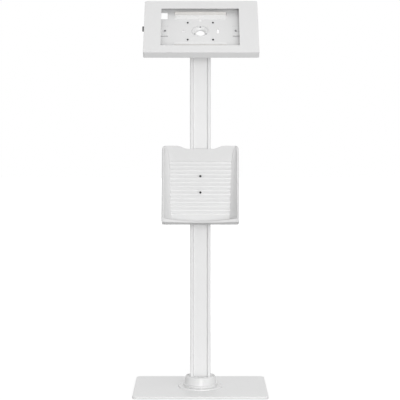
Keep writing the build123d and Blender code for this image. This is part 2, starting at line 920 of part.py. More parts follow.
def make_swivel_hub():
    """Flanged hub that the enclosure turns on, with a funnelled cable bore."""
    body = rod(hub_flange_radius, hub_flange_bottom, hub_flange_top)
    body += rod(hub_shaft_radius, yoke_front, hub_flange_bottom)
    body -= rod(hub_bore_radius, yoke_front - overcut, hub_flange_top + overcut)
    funnel = Cone(hub_bore_radius, hub_funnel_radius, hub_funnel_depth)
    body -= Pos(0, 0, hub_flange_top - hub_funnel_depth / 2) * funnel
    for x, y in hub_screw_places():
        body -= rod(m3_radius + screw_hole_gap, yoke_front - overcut, hub_flange_top + overcut, x, y)
        seat = hub_flange_top - m3_head_height
        body -= rod(m3_head_radius + screw_hole_gap / 2, seat, hub_flange_top + overcut, x, y)
    return body


def make_swivel_hub_screws():
    """Three screws that hold the hub on the yoke."""
    seat = hub_flange_top - m3_head_height
    screws = []
    for x, y in hub_screw_places():
        screw = pan_head_screw(
            m3_radius, m3_head_radius, m3_head_height - running_gap, seat, yoke_back, x, y
        )
        screws.append(screw)
    return screws


def make_swivel_washer():
    """Nylon ring between the turning plate and the yoke."""
    top = yoke_front + swivel_washer_thickness
    ring = rod(swivel_washer_radius, yoke_front, top)
    return ring - rod(hub_shaft_radius + running_gap, yoke_front - overcut, top + overcut)


def vesa_places():
    """Four screw places of the square mounting pattern."""
    half = vesa_pitch / 2
    return [(sx * half, sy * half) for sx in (-1, 1) for sy in (-1, 1)]


def make_vesa_plate():
    """Turning plate with scooped sides, tapped on the mounting pattern."""
    side = 2 * vesa_plate_half
    body = plate(side, side, vesa_plate_corner, vesa_back, vesa_plate_thickness)
    reach = vesa_scoop_middle + vesa_scoop_radius
    for x, y in ((reach, 0), (-reach, 0), (0, reach), (0, -reach)):
        body -= rod(vesa_scoop_radius, vesa_back - overcut, overcut, x, y)
    body -= rod(hub_shaft_radius + running_gap, vesa_back - overcut, overcut)
    pocket = hub_flange_bottom - running_gap
    body -= rod(hub_flange_radius + running_gap, pocket, overcut)
    for x, y in vesa_places():
        body -= rod(m4_radius, vesa_back - overcut, overcut, x, y)
    return body


def make_vesa_screws():
    """Dark screws that hold the pan on the turning plate."""
    return [
        pan_head_screw(m4_radius, m4_head_radius, m4_head_height, 0, vesa_back, x, y)
        for x, y in vesa_places()
    ]


# Enclosure pan and what it carries

def make_rear_pan():
    """Folded steel pan with the mounting pattern, cable bore, slots and camera opening."""
    depth = pan_top - pan_bottom
    middle = (pan_top + pan_bottom) / 2
    body = plate(pan_width, depth, pan_corner_radius, -pan_sheet, pan_sheet + pan_wall_height,
                 0, middle)
    inner = pan_corner_radius - pan_sheet
    body -= plate(pan_width - 2 * pan_sheet, depth - 2 * pan_sheet, inner, 0,
                  pan_wall_height + overcut, 0, middle)
    low = -pan_sheet - overcut
    body -= rod(pan_bore_radius, low, overcut)
    for x, y in vesa_places():
        body -= rod(m4_radius + screw_hole_gap, low, overcut, x, y)
    for side in (-1, 1):
        body -= rod(m4_radius, low, overcut, side * clamp_screw_x, 0)
    index = (index_slot_length, index_slot_width, low, overcut)
    body -= slot(*index, -index_slot_offset, 0)
    body -= slot(*index, 0, index_slot_offset, 90)
    body -= slot(stop_slot_length, stop_slot_width, low, overcut, stop_slot_offset, 0, 90)
    body -= block((camera_left, camera_bottom, low), (camera_right, camera_top, overcut))
    notch = lock_clip_radius + lock_notch_gap
    low_corner = (pan_left - overcut, -notch, 0)
    body -= block(low_corner, (pan_left + pan_sheet + overcut, notch, cover_face_height))
    return body


def rail_rivet_places():
    """Rivet places on both rail feet."""
    places = []
    for edge, way in ((upper_rail_edge, -1), (lower_rail_edge, 1)):
        y = edge + way * (rail_sheet + rail_depth) / 2
        for side in (-1, 1):
            places.append((side * (rail_half_length - rivet_inset), y))
    return places


def make_rail(edge, way):
    """Folded support rail: foot on the pan floor and upright flange behind the tablet."""
    foot_end = edge + way * rail_depth
    low = (-rail_half_length, min(edge, foot_end), 0)
    high = (rail_half_length, max(edge, foot_end), rail_sheet)
    body = block(low, high)
    flange_end = edge + way * rail_sheet
    low = (-rail_half_length, min(edge, flange_end), 0)
    high = (rail_half_length, max(edge, flange_end), rail_height)
    return body + block(low, high)


def make_rail_rivets():
    """Domed rivets through the rail feet."""
    rivets = []
    for x, y in rail_rivet_places():
        dome = rod(rivet_radius, rail_sheet, rail_sheet + rivet_height, x, y)
        dome = fillet(dome.edges().sort_by(Axis.Z)[-1], rivet_height * rivet_round_share)
        rivets.append(dome)
    return rivets


def make_rail_foam():
    """Soft strips on top of the rail flanges."""
    strips = []
    for edge, way in ((upper_rail_edge, -1), (lower_rail_edge, 1)):
        middle = edge + way * rail_sheet / 2
        low = (-rail_half_length, middle - rail_foam_width / 2, rail_height)
        high = (rail_half_length, middle + rail_foam_width / 2, rail_height + rail_foam_height)
        strips.append(block(low, high))
    return strips


def make_clamp(side):
    """Sliding side clamp: slotted foot and upright tab at the tablet's edge."""
    half = clamp_height / 2
    foot = plate(clamp_outer - clamp_inner, clamp_height, clamp_corner, 0, clamp_sheet,
                 (clamp_outer + clamp_inner) / 2, 0)
    tab = block((clamp_outer - clamp_sheet, -half + clamp_corner, 0),
                (clamp_outer, half - clamp_corner, clamp_tab_height))
    body = foot + tab
    middle = clamp_inner + clamp_slot_inset + clamp_slot_length / 2
    body -= slot(clamp_slot_length, clamp_slot_width, -overcut, clamp_sheet + overcut, middle, 0)
    return body if side > 0 else mirror(body, about=Plane.YZ)


def make_clamp_screws():
    """Screws in the clamp slots, tapped into the pan floor."""
    seat = clamp_sheet + running_gap / 2
    return [
        pan_head_screw(m4_radius, m4_head_radius, m4_head_height, seat, -pan_sheet, x, 0)
        for x in (-clamp_screw_x, clamp_screw_x)
    ]


def make_clamp_pad(side):
    """Rubber pad on the inner face of a clamp tab."""
    half = clamp_height / 2 - clamp_pad_edge
    face = clamp_outer - clamp_sheet
    body = block((face - clamp_pad_thickness, -half, clamp_pad_edge), (face, half, clamp_tab_height))
    return body if side > 0 else mirror(body, about=Plane.YZ)


# Front cover

def make_front_cover():
    """Folded steel lid with the display window and the hole for the lock."""
    width = cover_right - cover_left
    depth = cover_top - cover_bottom
    x = (cover_right + cover_left) / 2
    y = (cover_top + cover_bottom) / 2
    body = plate(width, depth, cover_corner_radius, -cover_skirt,
                 cover_face_height + cover_skirt, x, y)
    body = fillet(body.edges().group_by(Axis.Z)[-1], cover_edge_round)
    inner = cover_corner_radius - cover_sheet
    body -= plate(width - 2 * cover_sheet, depth - 2 * cover_sheet, inner, -cover_skirt - overcut,
                  cover_under + cover_skirt + overcut, x, y)
    window = plate(window_right - window_left, window_top - window_bottom, window_corner_radius,
                   0, 2 * cover_face_height, (window_right + window_left) / 2,
                   (window_top + window_bottom) / 2)
    body -= window
    inside = cover_left + cover_sheet + overcut
    body -= rod_x(lock_body_radius, cover_left - overcut, inside, 0, lock_height)
    return body


def knuckle(start, end, centre):
    """Hinge knuckle along u between two places."""
    shape = rod_y(hinge_knuckle_radius, centre + start, centre + end, hinge_axis_x,
                  hinge_axis_height)
    return shape - rod_y(hinge_pin_radius + hinge_running_gap, centre + start - overcut,
                         centre + end + overcut, hinge_axis_x, hinge_axis_height)


def hinge_leaf(start, end, centre, outer_side):
    """Flat leaf beside the knuckles, against the cover wall or the pan wall."""
    near = pan_right + hinge_space - hinge_leaf_thickness if outer_side else pan_right
    top = hinge_axis_height + hinge_leaf_height
    low = (near, centre + start, hinge_axis_height)
    high = (near + hinge_leaf_thickness, centre + end, top)
    bore = rod_y(hinge_pin_radius + hinge_running_gap, centre + start - overcut,
                 centre + end + overcut, hinge_axis_x, hinge_axis_height)
    return block(low, high) - bore


def knuckle_relief(centre):
    """Cutter that clears the knuckles of the other leaf over a hinge's whole length."""
    half = hinge_leaf_length / 2 + overcut
    reach = hinge_knuckle_radius + hinge_knuckle_gap
    low = (pan_right - overcut, centre - half, hinge_axis_height - reach)
    high = (cover_right + overcut, centre + half, hinge_axis_height + reach)
    return block(low, high)


def make_cover_hinge_leaves():
    """Cover halves of the two hinges, with the middle knuckles."""
    half = hinge_leaf_length / 2
    mid = hinge_middle_length / 2
    leaves = []
    for centre in (-hinge_offset, hinge_offset):
        leaf = knuckle(-mid, mid, centre) + hinge_leaf(-mid, mid, centre, True)
        wide = hinge_leaf(-half, half, centre, True) - knuckle_relief(centre)
        leaves.append(leaf + wide)
    return leaves


def make_pan_hinge_leaves():
    """Pan halves of the two hinges, with the outer knuckles."""
    half = hinge_leaf_length / 2
    mid = hinge_middle_length / 2 + hinge_knuckle_gap
    leaves = []
    for centre in (-hinge_offset, hinge_offset):
        leaf = knuckle(-half, -mid, centre) + knuckle(mid, half, centre)
        leaf += hinge_leaf(-half, -mid, centre, False) + hinge_leaf(mid, half, centre, False)
        wide = hinge_leaf(-half, half, centre, False) - knuckle_relief(centre)
        leaves.append(leaf + wide)
    return leaves


def make_hinge_pins():
    """Pins of the two cover hinges."""
    half = hinge_leaf_length / 2
    return [
        rod_y(hinge_pin_radius, centre - half, centre + half, hinge_axis_x, hinge_axis_height)
        for centre in (-hinge_offset, hinge_offset)
    ]


# Lock

lock_face = cover_left - lock_head_length
lock_body_end = lock_face + lock_body_length
cam_start = lock_body_end + cam_gap
cam_end = cam_start + cam_thickness


def make_lock_barrel():
    """Fixed barrel of the cam lock, with its head outside the cover wall."""
    body = rod_x(lock_head_radius, lock_face, cover_left, 0, lock_height)
    body = fillet(body.edges().sort_by(Axis.X)[0], lock_head_round)
    body += rod_x(lock_body_radius, cover_left, lock_body_end, 0, lock_height)
    bore = lock_plug_radius + lock_plug_gap
    return body - rod_x(bore, lock_face - overcut, lock_body_end + overcut, 0, lock_height)


def make_lock_clip():
    """Ring nut that holds the barrel on the inner face of the cover wall."""
    start = cover_left + cover_sheet
    end = start + lock_clip_thickness
    ring = rod_x(lock_clip_radius, start, end, 0, lock_height)
    return ring - rod_x(lock_body_radius, start - overcut, end + overcut, 0, lock_height)


def make_lock_plug():
    """Turning plug with its keyway and the square stub for the cam."""
    body = rod_x(lock_plug_radius, lock_face + lock_plug_sink, lock_body_end, 0, lock_height)
    body += rod_x(lock_neck_radius, lock_body_end, cam_start, 0, lock_height)
    low = (cam_start, -cam_stub_half, lock_height - cam_stub_half)
    high = (cam_end, cam_stub_half, lock_height + cam_stub_half)
    body += block(low, high)
    reach = keyway_length / 2
    keyway = block(
        (lock_face - overcut, -keyway_width / 2, lock_height - reach),
        (lock_face + keyway_depth, keyway_width / 2, lock_height + reach),
    )
    return body - keyway


def make_lock_cam():
    """Cam that turns up under the catch; at rest it points to the pan floor."""
    profile = Circle(cam_eye_radius)
    profile += Pos(0, -cam_reach / 2) * Rectangle(2 * cam_half_width, cam_reach)
    profile -= Rectangle(2 * cam_stub_half, 2 * cam_stub_half)
    side = Plane(origin=(cam_start, 0, lock_height), x_dir=(0, 1, 0), z_dir=(1, 0, 0))
    return side.location * extrude(profile, cam_thickness)


def make_lock_cam_screw():
    """Screw that holds the cam on the plug."""
    return rod_x(cam_screw_radius, cam_end, cam_end + cam_screw_height, 0, lock_height)


def make_lock_catch():
    """Folded catch on the pan floor that the cam turns under."""
    start = cam_start - catch_lead
    end = start + catch_length
    over = lock_height + cam_half_width + catch_gap
    foot = block((start, catch_reach, 0), (end, catch_reach + catch_foot, catch_sheet))
    stem = block((start, catch_reach, 0), (end, catch_reach + catch_sheet, over + catch_sheet))
    hook = block((start, catch_start, over), (end, catch_reach + catch_sheet, over + catch_sheet))
    return foot + stem + hook


def head_group(shapes):
    """Place a list of enclosure shapes in the stand's frame."""
    return [place_head(shape) for shape in shapes]


def write(name, shape):
    """Write one node: a single solid, or a group of separate solids."""
    if isinstance(shape, list):
        solids = [solid for item in shape for solid in item.solids()]
        shape = Compound(children=solids)
    export_step(shape, "parts/" + name + ".step")


os.makedirs("parts", exist_ok=True)

write("base_plate", make_base_plate())
write("base_feet", make_base_feet())
write("foot_socket", make_foot_socket())
write("base_bolts", make_base_bolts())
write("socket_screws", make_socket_screws())
write("column", make_column())
write("cable_grommets", make_cable_grommets())
write("foot_collar", make_foot_collar())
write("tray_bracket", make_tray_bracket())
write("tray_bracket_screws", make_bracket_screws())
write("tray_bracket_nuts", make_bracket_nuts())
write("tray", place_tray(make_tray()))
write("tray_screws", [place_tray(screw) for screw in make_tray_screws()])
write("tray_weld_nuts", [place_tray(nut) for nut in make_tray_weld_nuts()])
write("head_bracket", make_head_bracket())
write("head_bracket_screws", make_head_bracket_screws())
write("tilt_bolt", make_tilt_bolt())
write("tilt_nut", make_tilt_nut())
write("tilt_washers", make_tilt_washers())
write("tilt_friction_washers", make_friction_washers())
write("tilt_yoke", place_head(make_tilt_yoke()))
write("swivel_hub", place_head(make_swivel_hub()))
write("swivel_hub_screws", head_group(make_swivel_hub_screws()))
write("swivel_washer", place_head(make_swivel_washer()))
write("vesa_plate", place_head(make_vesa_plate()))
write("vesa_screws", head_group(make_vesa_screws()))
write("rear_pan", place_head(make_rear_pan()))
write("upper_rail", place_head(make_rail(upper_rail_edge, -1)))
write("lower_rail", place_head(make_rail(lower_rail_edge, 1)))
write("rail_rivets", head_group(make_rail_rivets()))
write("rail_foam", head_group(make_rail_foam()))
write("left_clamp", place_head(make_clamp(-1)))
write("right_clamp", place_head(make_clamp(1)))
write("clamp_screws", head_group(make_clamp_screws()))
write("left_clamp_pad", place_head(make_clamp_pad(-1)))
write("right_clamp_pad", place_head(make_clamp_pad(1)))
write("front_cover", place_head(make_front_cover()))
write("cover_hinge_leaves", head_group(make_cover_hinge_leaves()))
write("pan_hinge_leaves", head_group(make_pan_hinge_leaves()))
write("hinge_pins", head_group(make_hinge_pins()))
write("lock_barrel", place_head(make_lock_barrel()))
write("lock_clip", place_head(make_lock_clip()))
write("lock_plug", place_head(make_lock_plug()))
write("lock_cam", place_head(make_lock_cam()))
write("lock_cam_screw", place_head(make_lock_cam_screw()))
write("lock_catch", place_head(make_lock_catch()))
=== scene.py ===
"""Looks of the tablet floor stand: finishes, fixings, moulded detail, light and camera.

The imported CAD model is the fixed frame.  Every CAD node keeps its place and gets a procedural
finish, and the pieces made here are fixings, soft parts and moulded detail that stand for CAD
nodes or lie on them.  All sizes are in metres and all coordinates in the frame of the CAD.
"""
from __future__ import annotations

import json
import logging
import math
from dataclasses import dataclass, field
from enum import Enum
from typing import ClassVar, Sequence

import bmesh
import bpy
from mathutils import Matrix, Vector

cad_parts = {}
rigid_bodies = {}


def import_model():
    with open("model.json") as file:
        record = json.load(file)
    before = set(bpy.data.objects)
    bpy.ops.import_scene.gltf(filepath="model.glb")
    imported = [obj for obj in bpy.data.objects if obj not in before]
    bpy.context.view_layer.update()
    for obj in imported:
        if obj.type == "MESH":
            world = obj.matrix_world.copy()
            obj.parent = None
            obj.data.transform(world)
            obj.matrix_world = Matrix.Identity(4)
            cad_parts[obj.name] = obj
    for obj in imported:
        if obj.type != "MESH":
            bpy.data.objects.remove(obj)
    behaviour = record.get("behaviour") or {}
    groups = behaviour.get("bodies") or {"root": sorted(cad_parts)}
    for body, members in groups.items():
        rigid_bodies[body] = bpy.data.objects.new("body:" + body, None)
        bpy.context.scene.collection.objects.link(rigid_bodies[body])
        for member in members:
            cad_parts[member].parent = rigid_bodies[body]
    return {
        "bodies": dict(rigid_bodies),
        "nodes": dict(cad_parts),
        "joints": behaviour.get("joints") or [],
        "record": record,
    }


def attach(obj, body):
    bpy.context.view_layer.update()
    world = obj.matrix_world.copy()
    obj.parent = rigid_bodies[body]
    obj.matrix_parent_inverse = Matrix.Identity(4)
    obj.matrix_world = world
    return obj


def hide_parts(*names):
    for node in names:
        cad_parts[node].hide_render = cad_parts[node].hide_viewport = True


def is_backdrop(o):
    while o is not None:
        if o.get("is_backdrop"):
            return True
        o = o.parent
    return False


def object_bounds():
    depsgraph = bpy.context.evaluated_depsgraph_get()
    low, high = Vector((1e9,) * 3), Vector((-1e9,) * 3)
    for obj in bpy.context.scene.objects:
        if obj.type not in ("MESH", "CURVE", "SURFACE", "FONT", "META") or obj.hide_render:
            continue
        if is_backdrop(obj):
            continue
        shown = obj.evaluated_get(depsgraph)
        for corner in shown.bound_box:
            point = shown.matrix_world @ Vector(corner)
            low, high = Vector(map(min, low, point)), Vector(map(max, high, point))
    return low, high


LOG = logging.getLogger("tablet_stand")
Colour = tuple[float, float, float]
Place = tuple[float, float, float]
Pair = tuple[float, float]
Pairs = tuple[Pair, ...]
Points = list[Pair]

# Distances at which points of a new mesh, and of a CAD node, count as one
WELD = 1e-7
SAME_PLACE = 2e-6


class Body(Enum):
    """Moving bodies that carry the pieces made here."""

    STAND = "stand"
    TILT_FRAME = "tilt_frame"
    ENCLOSURE = "enclosure"
    CLAMP_LEFT = "clamp_left"
    CLAMP_RIGHT = "clamp_right"


class Slot(Enum):
    """Material slots of the record."""

    STEEL_WHITE = "steel_white"
    COLUMN_WHITE = "column_white"
    TRAY_PLASTIC = "tray_plastic"
    COLLAR_PLASTIC = "collar_plastic"
    ZINC_STEEL = "zinc_steel"
    DARK_SCREW = "dark_screw"
    GREY_SCREW = "grey_screw"
    LOCK_DARK = "lock_dark"
    LOCK_CORE = "lock_core"
    RUBBER_BLACK = "rubber_black"
    NYLON = "nylon"
    FOAM = "foam"


class Side(Enum):
    """Sides of the stand, as the sign of X."""

    LEFT = -1
    RIGHT = 1


# Work planes


@dataclass(frozen=True)
class WorkPlane:
    """Plane of a sub-assembly, leaning back about the X axis.

    Attributes:
        origin: Origin in the frame.
        lean: Angle in degrees by which the plane's upright direction leans back from vertical.
    """

    origin: Place = (0.0, 0.0, 0.0)
    lean: float = 0.0

    @property
    def turn(self) -> Matrix:
        """Turn to the frame from right, up the plane and out towards the viewer."""
        sine, cosine = math.sin(math.radians(self.lean)), math.cos(math.radians(self.lean))
        return Matrix(((1, 0, 0), (0, sine, -cosine), (0, cosine, sine)))

    @property
    def matrix(self) -> Matrix:
        """Matrix from the plane to the frame."""
        return Matrix.Translation(self.origin) @ self.turn.to_4x4()


HEAD_LEAN = 45.0
PIVOT_HEIGHT = 1.0539
PIVOT_STANDOFF = 0.034
HEAD = WorkPlane(
    (
        0.0,
        -PIVOT_STANDOFF * math.cos(math.radians(HEAD_LEAN)),
        PIVOT_HEIGHT + PIVOT_STANDOFF * math.sin(math.radians(HEAD_LEAN)),
    ),
    HEAD_LEAN,
)
TRAY_LEAN = 17.0
TRAY_FOOT_HEIGHT = 0.5085
TRAY_REST = 0.2305
COLUMN_FACE = -0.0223
TRAY = WorkPlane(
    (0.0, COLUMN_FACE - TRAY_REST * math.sin(math.radians(TRAY_LEAN)), TRAY_FOOT_HEIGHT),
    TRAY_LEAN,
)
UPRIGHT = WorkPlane()
FLOOR = WorkPlane(lean=90.0)


# Node trees


class NodeSheet:
    """Adds linked nodes to one tree."""

    def __init__(self, tree: bpy.types.NodeTree) -> None:
        """Keeps the tree to fill."""
        self.tree = tree

    @classmethod
    def of(cls, owner: bpy.types.Material | bpy.types.World) -> NodeSheet:
        """Sheet of the emptied tree of a material or world."""
        owner.use_nodes = True
        owner.node_tree.nodes.clear()
        return cls(owner.node_tree)

    def add(
        self, kind: str, inputs: dict[str | int, object] | None = None, **settings: object
    ) -> bpy.types.Node:
        """Adds one node.

        Args:
            kind: Node type name.
            inputs: Value of each input, or the output that feeds it.
            settings: Attributes of the node.

        Returns:
            The new node.
        """
        node = self.tree.nodes.new(kind)
        for name, value in settings.items():
            setattr(node, name, value)
        for name, value in (inputs or {}).items():
            if isinstance(value, bpy.types.NodeSocket):
                self.tree.links.new(value, node.inputs[name])
            else:
                node.inputs[name].default_value = value
        return node

    def math(self, operation: str, first: object, second: object) -> bpy.types.NodeSocket:
        """Output of a Math node on two sockets or numbers."""
        return self.add("ShaderNodeMath", {0: first, 1: second}, operation=operation).outputs[0]

    def give(self, results: dict[str, bpy.types.NodeSocket]) -> bpy.types.NodeTree:
        """Feeds the outputs of a group and gives its tree."""
        self.add("NodeGroupOutput", results)
        return self.tree


def new_group(
    name: str, kind: str, inputs: dict[str, str], outputs: dict[str, str]
) -> tuple[NodeSheet, bpy.types.NodeOutputs]:
    """Makes an empty node group with named sockets.

    Args:
        name: Name of the group.
        kind: Tree type.
        inputs: Kind of socket of each input.
        outputs: Kind of socket of each output.

    Returns:
        The sheet of the tree, and what its inputs give.
    """
    tree = bpy.data.node_groups.new(name, kind)
    for way, sockets in (("INPUT", inputs), ("OUTPUT", outputs)):
        for label, socket in sockets.items():
            tree.interface.new_socket(name=label, in_out=way, socket_type="NodeSocket" + socket)
    sheet = NodeSheet(tree)
    return sheet, sheet.add("NodeGroupInput").outputs


class SurfaceGroups:
    """Shader groups that several finishes share.

    Attributes:
        PATCH_GAIN: Strength of the slow patches.
        EDGE_GAIN: Strength of the edge mask.
    """

    PATCH_GAIN: ClassVar[float] = 2.0
    EDGE_GAIN: ClassVar[float] = 3.0

    def __init__(self) -> None:
        """Builds the groups once."""
        self.grain = self._grain()
        self.streaks = self._streaks()
        self.soft_edge = self._soft_edge()

    def _grain(self) -> bpy.types.NodeTree:
        """Fine surface texture of paint, moulding or plating, with slow unevenness."""
        inputs = {"Vector": "Vector", "Colour": "Color", "Shade": "Color"}
        numbers = ("Grain Scale", "Cloud Scale", "Cloud Share", "Roughness", "Spread")
        sheet, given = new_group(
            "surface_grain",
            "ShaderNodeTree",
            inputs | dict.fromkeys(numbers, "Float"),
            {"Colour": "Color", "Roughness": "Float", "Height": "Float"},
        )
        fine, cloud = (
            sheet.add(
                "ShaderNodeTexNoise",
                {"Vector": given["Vector"], "Scale": given[scale], "Detail": detail},
            ).outputs["Fac"]
            for scale, detail in (("Grain Scale", 2.0), ("Cloud Scale", 3.0))
        )
        patch = sheet.math("MULTIPLY", sheet.math("MULTIPLY", cloud, fine), self.PATCH_GAIN)
        values = {"Factor": patch, "A": given["Colour"], "B": given["Shade"]}
        mix = sheet.add("ShaderNodeMix", values, data_type="RGBA")
        change = sheet.math("MULTIPLY", sheet.math("SUBTRACT", cloud, 0.5), given["Spread"])
        slow = sheet.math("MULTIPLY", cloud, given["Cloud Share"])
        return sheet.give(
            {
                "Colour": mix.outputs["Result"],
                "Roughness": sheet.math("ADD", given["Roughness"], change),
                "Height": sheet.math("ADD", fine, slow),
            }
        )

    @staticmethod
    def _streaks() -> bpy.types.NodeTree:
        """Long fine lines that a die or a brush leaves along one direction."""
        sheet, given = new_group(
            "drawn_streaks",
            "ShaderNodeTree",
            {"Vector": "Vector", "Line Scale": "Vector", "Depth": "Float"},
            {"Height": "Float"},
        )
        place = sheet.add(
            "ShaderNodeMapping", {"Vector": given["Vector"], "Scale": given["Line Scale"]}
        )
        lines = sheet.add(
            "ShaderNodeTexNoise", {"Vector": place.outputs["Vector"], "Scale": 1.0, "Detail": 3.0}
        )
        return sheet.give({"Height": sheet.math("MULTIPLY", lines.outputs["Fac"], given["Depth"])})

    def _soft_edge(self) -> bpy.types.NodeTree:
        """Rounded edge normal, and a mask of the edges, where dark finishes show wear and pale ones
        take a painted highlight.
        """
        outputs = {"Normal": "Vector", "Edge": "Float"}
        sheet, given = new_group("soft_edge", "ShaderNodeTree", {"Radius": "Float"}, outputs)
        bevel = sheet.add("ShaderNodeBevel", {"Radius": given["Radius"]}, samples=4)
        rounded = bevel.outputs["Normal"]
        flat = sheet.add("ShaderNodeNewGeometry").outputs["Normal"]
        dot = sheet.add("ShaderNodeVectorMath", {0: rounded, 1: flat}, operation="DOT_PRODUCT")
        edge = sheet.math("SUBTRACT", 1.0, dot.outputs["Value"])
        mask = sheet.math("MULTIPLY", edge, self.EDGE_GAIN)
        return sheet.give({"Normal": rounded, "Edge": mask})


# Finishes


@dataclass(frozen=True)
class Finish:
    """Surface finish whose colour, roughness and relief come from nodes.

    Attributes:
        name: Name of the material.
        colour: Main colour.
        shade: Colour of the slow patches.
        roughness: Middle roughness.
        spread: How far the roughness wanders.
        grain: Number of fine grains in a metre.
        cloud: Number of slow patches in a metre.
        relief: Full height of the relief.
        edge_wear_and_highlight: Colour along the edges; worn metal on dark finishes, a painted
            highlight on pale ones.
        metallic: Metallic value.
        coat: Weight of a clear coat.
        edge_radius: Radius of the rounded edges.
        edge_strength: Strength of the edge colour.
        lines: Lines in a metre along each axis, on a drawn or brushed surface.
        cells: Open cells in a metre, in foam.
        CLOUD_SHARE: Share of the relief that the slow patches have.
        LINE_DEPTH: Share of the relief that the lines have.
    """

    CLOUD_SHARE: ClassVar[float] = 0.2
    LINE_DEPTH: ClassVar[float] = 0.8

    name: str
    colour: Colour
    shade: Colour
    roughness: float
    spread: float
    grain: float
    cloud: float
    relief: float
    edge_wear_and_highlight: Colour
    metallic: float = 0.0
    coat: float = 0.0
    edge_radius: float = 0.0004
    edge_strength: float = 0.3
    lines: Place | None = None
    cells: float = 0.0

    def build(self, groups: SurfaceGroups) -> bpy.types.Material:
        """Builds the material.

        Args:
            groups: Shared shader groups.

        Returns:
            The finished material.
        """
        material = bpy.data.materials.new(self.name)
        material.diffuse_color = (*self.colour, 1)
        sheet = NodeSheet.of(material)
        place = sheet.add("ShaderNodeTexCoord").outputs["Object"]
        values = {
            "Vector": place,
            "Colour": (*self.colour, 1),
            "Shade": (*self.shade, 1),
            "Grain Scale": self.grain,
            "Cloud Scale": self.cloud,
            "Cloud Share": self.CLOUD_SHARE,
            "Roughness": self.roughness,
            "Spread": self.spread,
        }
        grain = sheet.add("ShaderNodeGroup", values, node_tree=groups.grain).outputs
        height = grain["Height"]
        if self.lines is not None:
            values = {"Vector": place, "Line Scale": self.lines, "Depth": self.LINE_DEPTH}
            drawn = sheet.add("ShaderNodeGroup", values, node_tree=groups.streaks)
            height = sheet.math("ADD", height, drawn.outputs["Height"])
        if self.cells:
            foam = sheet.add("ShaderNodeTexVoronoi", {"Vector": place, "Scale": self.cells})
            height = sheet.math("ADD", height, foam.outputs["Distance"])
        values = {"Radius": self.edge_radius}
        edge = sheet.add("ShaderNodeGroup", values, node_tree=groups.soft_edge).outputs
        values = {"Distance": self.relief, "Height": height, "Normal": edge["Normal"]}
        bump = sheet.add("ShaderNodeBump", values)
        # Lighter colour along the edges: wear on the dark finishes, a painted highlight on the pale
        # ones
        values = {
            "Factor": sheet.math("MULTIPLY", edge["Edge"], self.edge_strength),
            "A": grain["Colour"],
            "B": (*self.edge_wear_and_highlight, 1),
        }
        mix = sheet.add("ShaderNodeMix", values, data_type="RGBA", clamp_factor=True)
        values = {
            "Base Color": mix.outputs["Result"],
            "Metallic": self.metallic,
            "Roughness": grain["Roughness"],
            "Coat Weight": self.coat,
            "Normal": bump.outputs["Normal"],
        }
        shader = sheet.add("ShaderNodeBsdfPrincipled", values)
        sheet.add("ShaderNodeOutputMaterial", {"Surface": shader.outputs["BSDF"]})
        return material


def grey(level: float, blue: float | None = None) -> Colour:
    """Grey of one level, with a blue of its own where it is tinted."""
    return (level, level, level if blue is None else blue)


# Name, colour, shade, roughness, spread, grain, cloud, relief and edge colour of each finish (edge
# colour: wear where dark, painted highlight where pale)
WHITE_PAINT = (grey(0.79), grey(0.765))
FINISHES: dict[Slot, Finish] = {
    Slot.STEEL_WHITE: Finish(
        "white_powder_coat", *WHITE_PAINT, 0.42, 0.12, 1100.0, 9.0, 4e-5, grey(0.86)
    ),
    Slot.COLUMN_WHITE: Finish(
        "white_coated_extrusion", *WHITE_PAINT, 0.5, 0.08, 1200.0, 7.0, 3e-5, grey(0.86),
        lines=(900.0, 900.0, 4.0),
    ),
    Slot.TRAY_PLASTIC: Finish(
        "satin_white_moulding", grey(0.725), grey(0.70), 0.36, 0.10, 2200.0, 14.0, 1.5e-5,
        grey(0.85), edge_radius=0.0009,
    ),
    Slot.COLLAR_PLASTIC: Finish(
        "glossy_white_moulding", grey(0.74), grey(0.72), 0.24, 0.08, 1500.0, 20.0, 1e-5,
        grey(0.86), coat=0.2, edge_radius=0.0006,
    ),
    Slot.ZINC_STEEL: Finish(
        "bright_zinc_plate", grey(0.62, 0.63), grey(0.50, 0.52), 0.3, 0.25, 1800.0, 90.0, 1e-5,
        grey(0.75, 0.76), metallic=1.0,
    ),
    Slot.DARK_SCREW: Finish(
        "black_oxide", grey(0.035, 0.037), grey(0.02, 0.021), 0.42, 0.2, 2500.0, 160.0, 1e-5,
        grey(0.16, 0.165), metallic=0.6, edge_radius=0.0002,
    ),
    Slot.GREY_SCREW: Finish(
        "dull_zinc_plate", grey(0.30, 0.31), grey(0.22, 0.23), 0.4, 0.2, 2500.0, 160.0, 1e-5,
        grey(0.45, 0.46), metallic=0.9, edge_radius=0.0002,
    ),
    Slot.LOCK_DARK: Finish(
        "black_lacquer", grey(0.02, 0.021), grey(0.03, 0.031), 0.25, 0.1, 1200.0, 60.0, 8e-6,
        grey(0.09, 0.092), coat=0.5,
    ),
    Slot.LOCK_CORE: Finish(
        "satin_nickel", grey(0.50, 0.51), grey(0.40, 0.41), 0.3, 0.15, 2000.0, 120.0, 1e-5,
        grey(0.65, 0.66), metallic=1.0, edge_radius=0.0002, lines=(40.0, 3000.0, 3000.0),
    ),
    Slot.RUBBER_BLACK: Finish(
        "black_rubber", grey(0.03), grey(0.045, 0.044), 0.75, 0.12, 1400.0, 40.0, 4e-5, grey(0.07)
    ),
    Slot.NYLON: Finish(
        "natural_nylon", (0.72, 0.71, 0.67), (0.66, 0.65, 0.60), 0.45, 0.1, 1500.0, 50.0, 1e-5,
        (0.8, 0.79, 0.75),
    ),
    Slot.FOAM: Finish(
        "off_white_foam", (0.76, 0.745, 0.725), (0.69, 0.675, 0.65), 0.9, 0.08, 2500.0, 60.0,
        0.00012, grey(0.9), edge_strength=0.0, cells=1600.0,
    ),
}
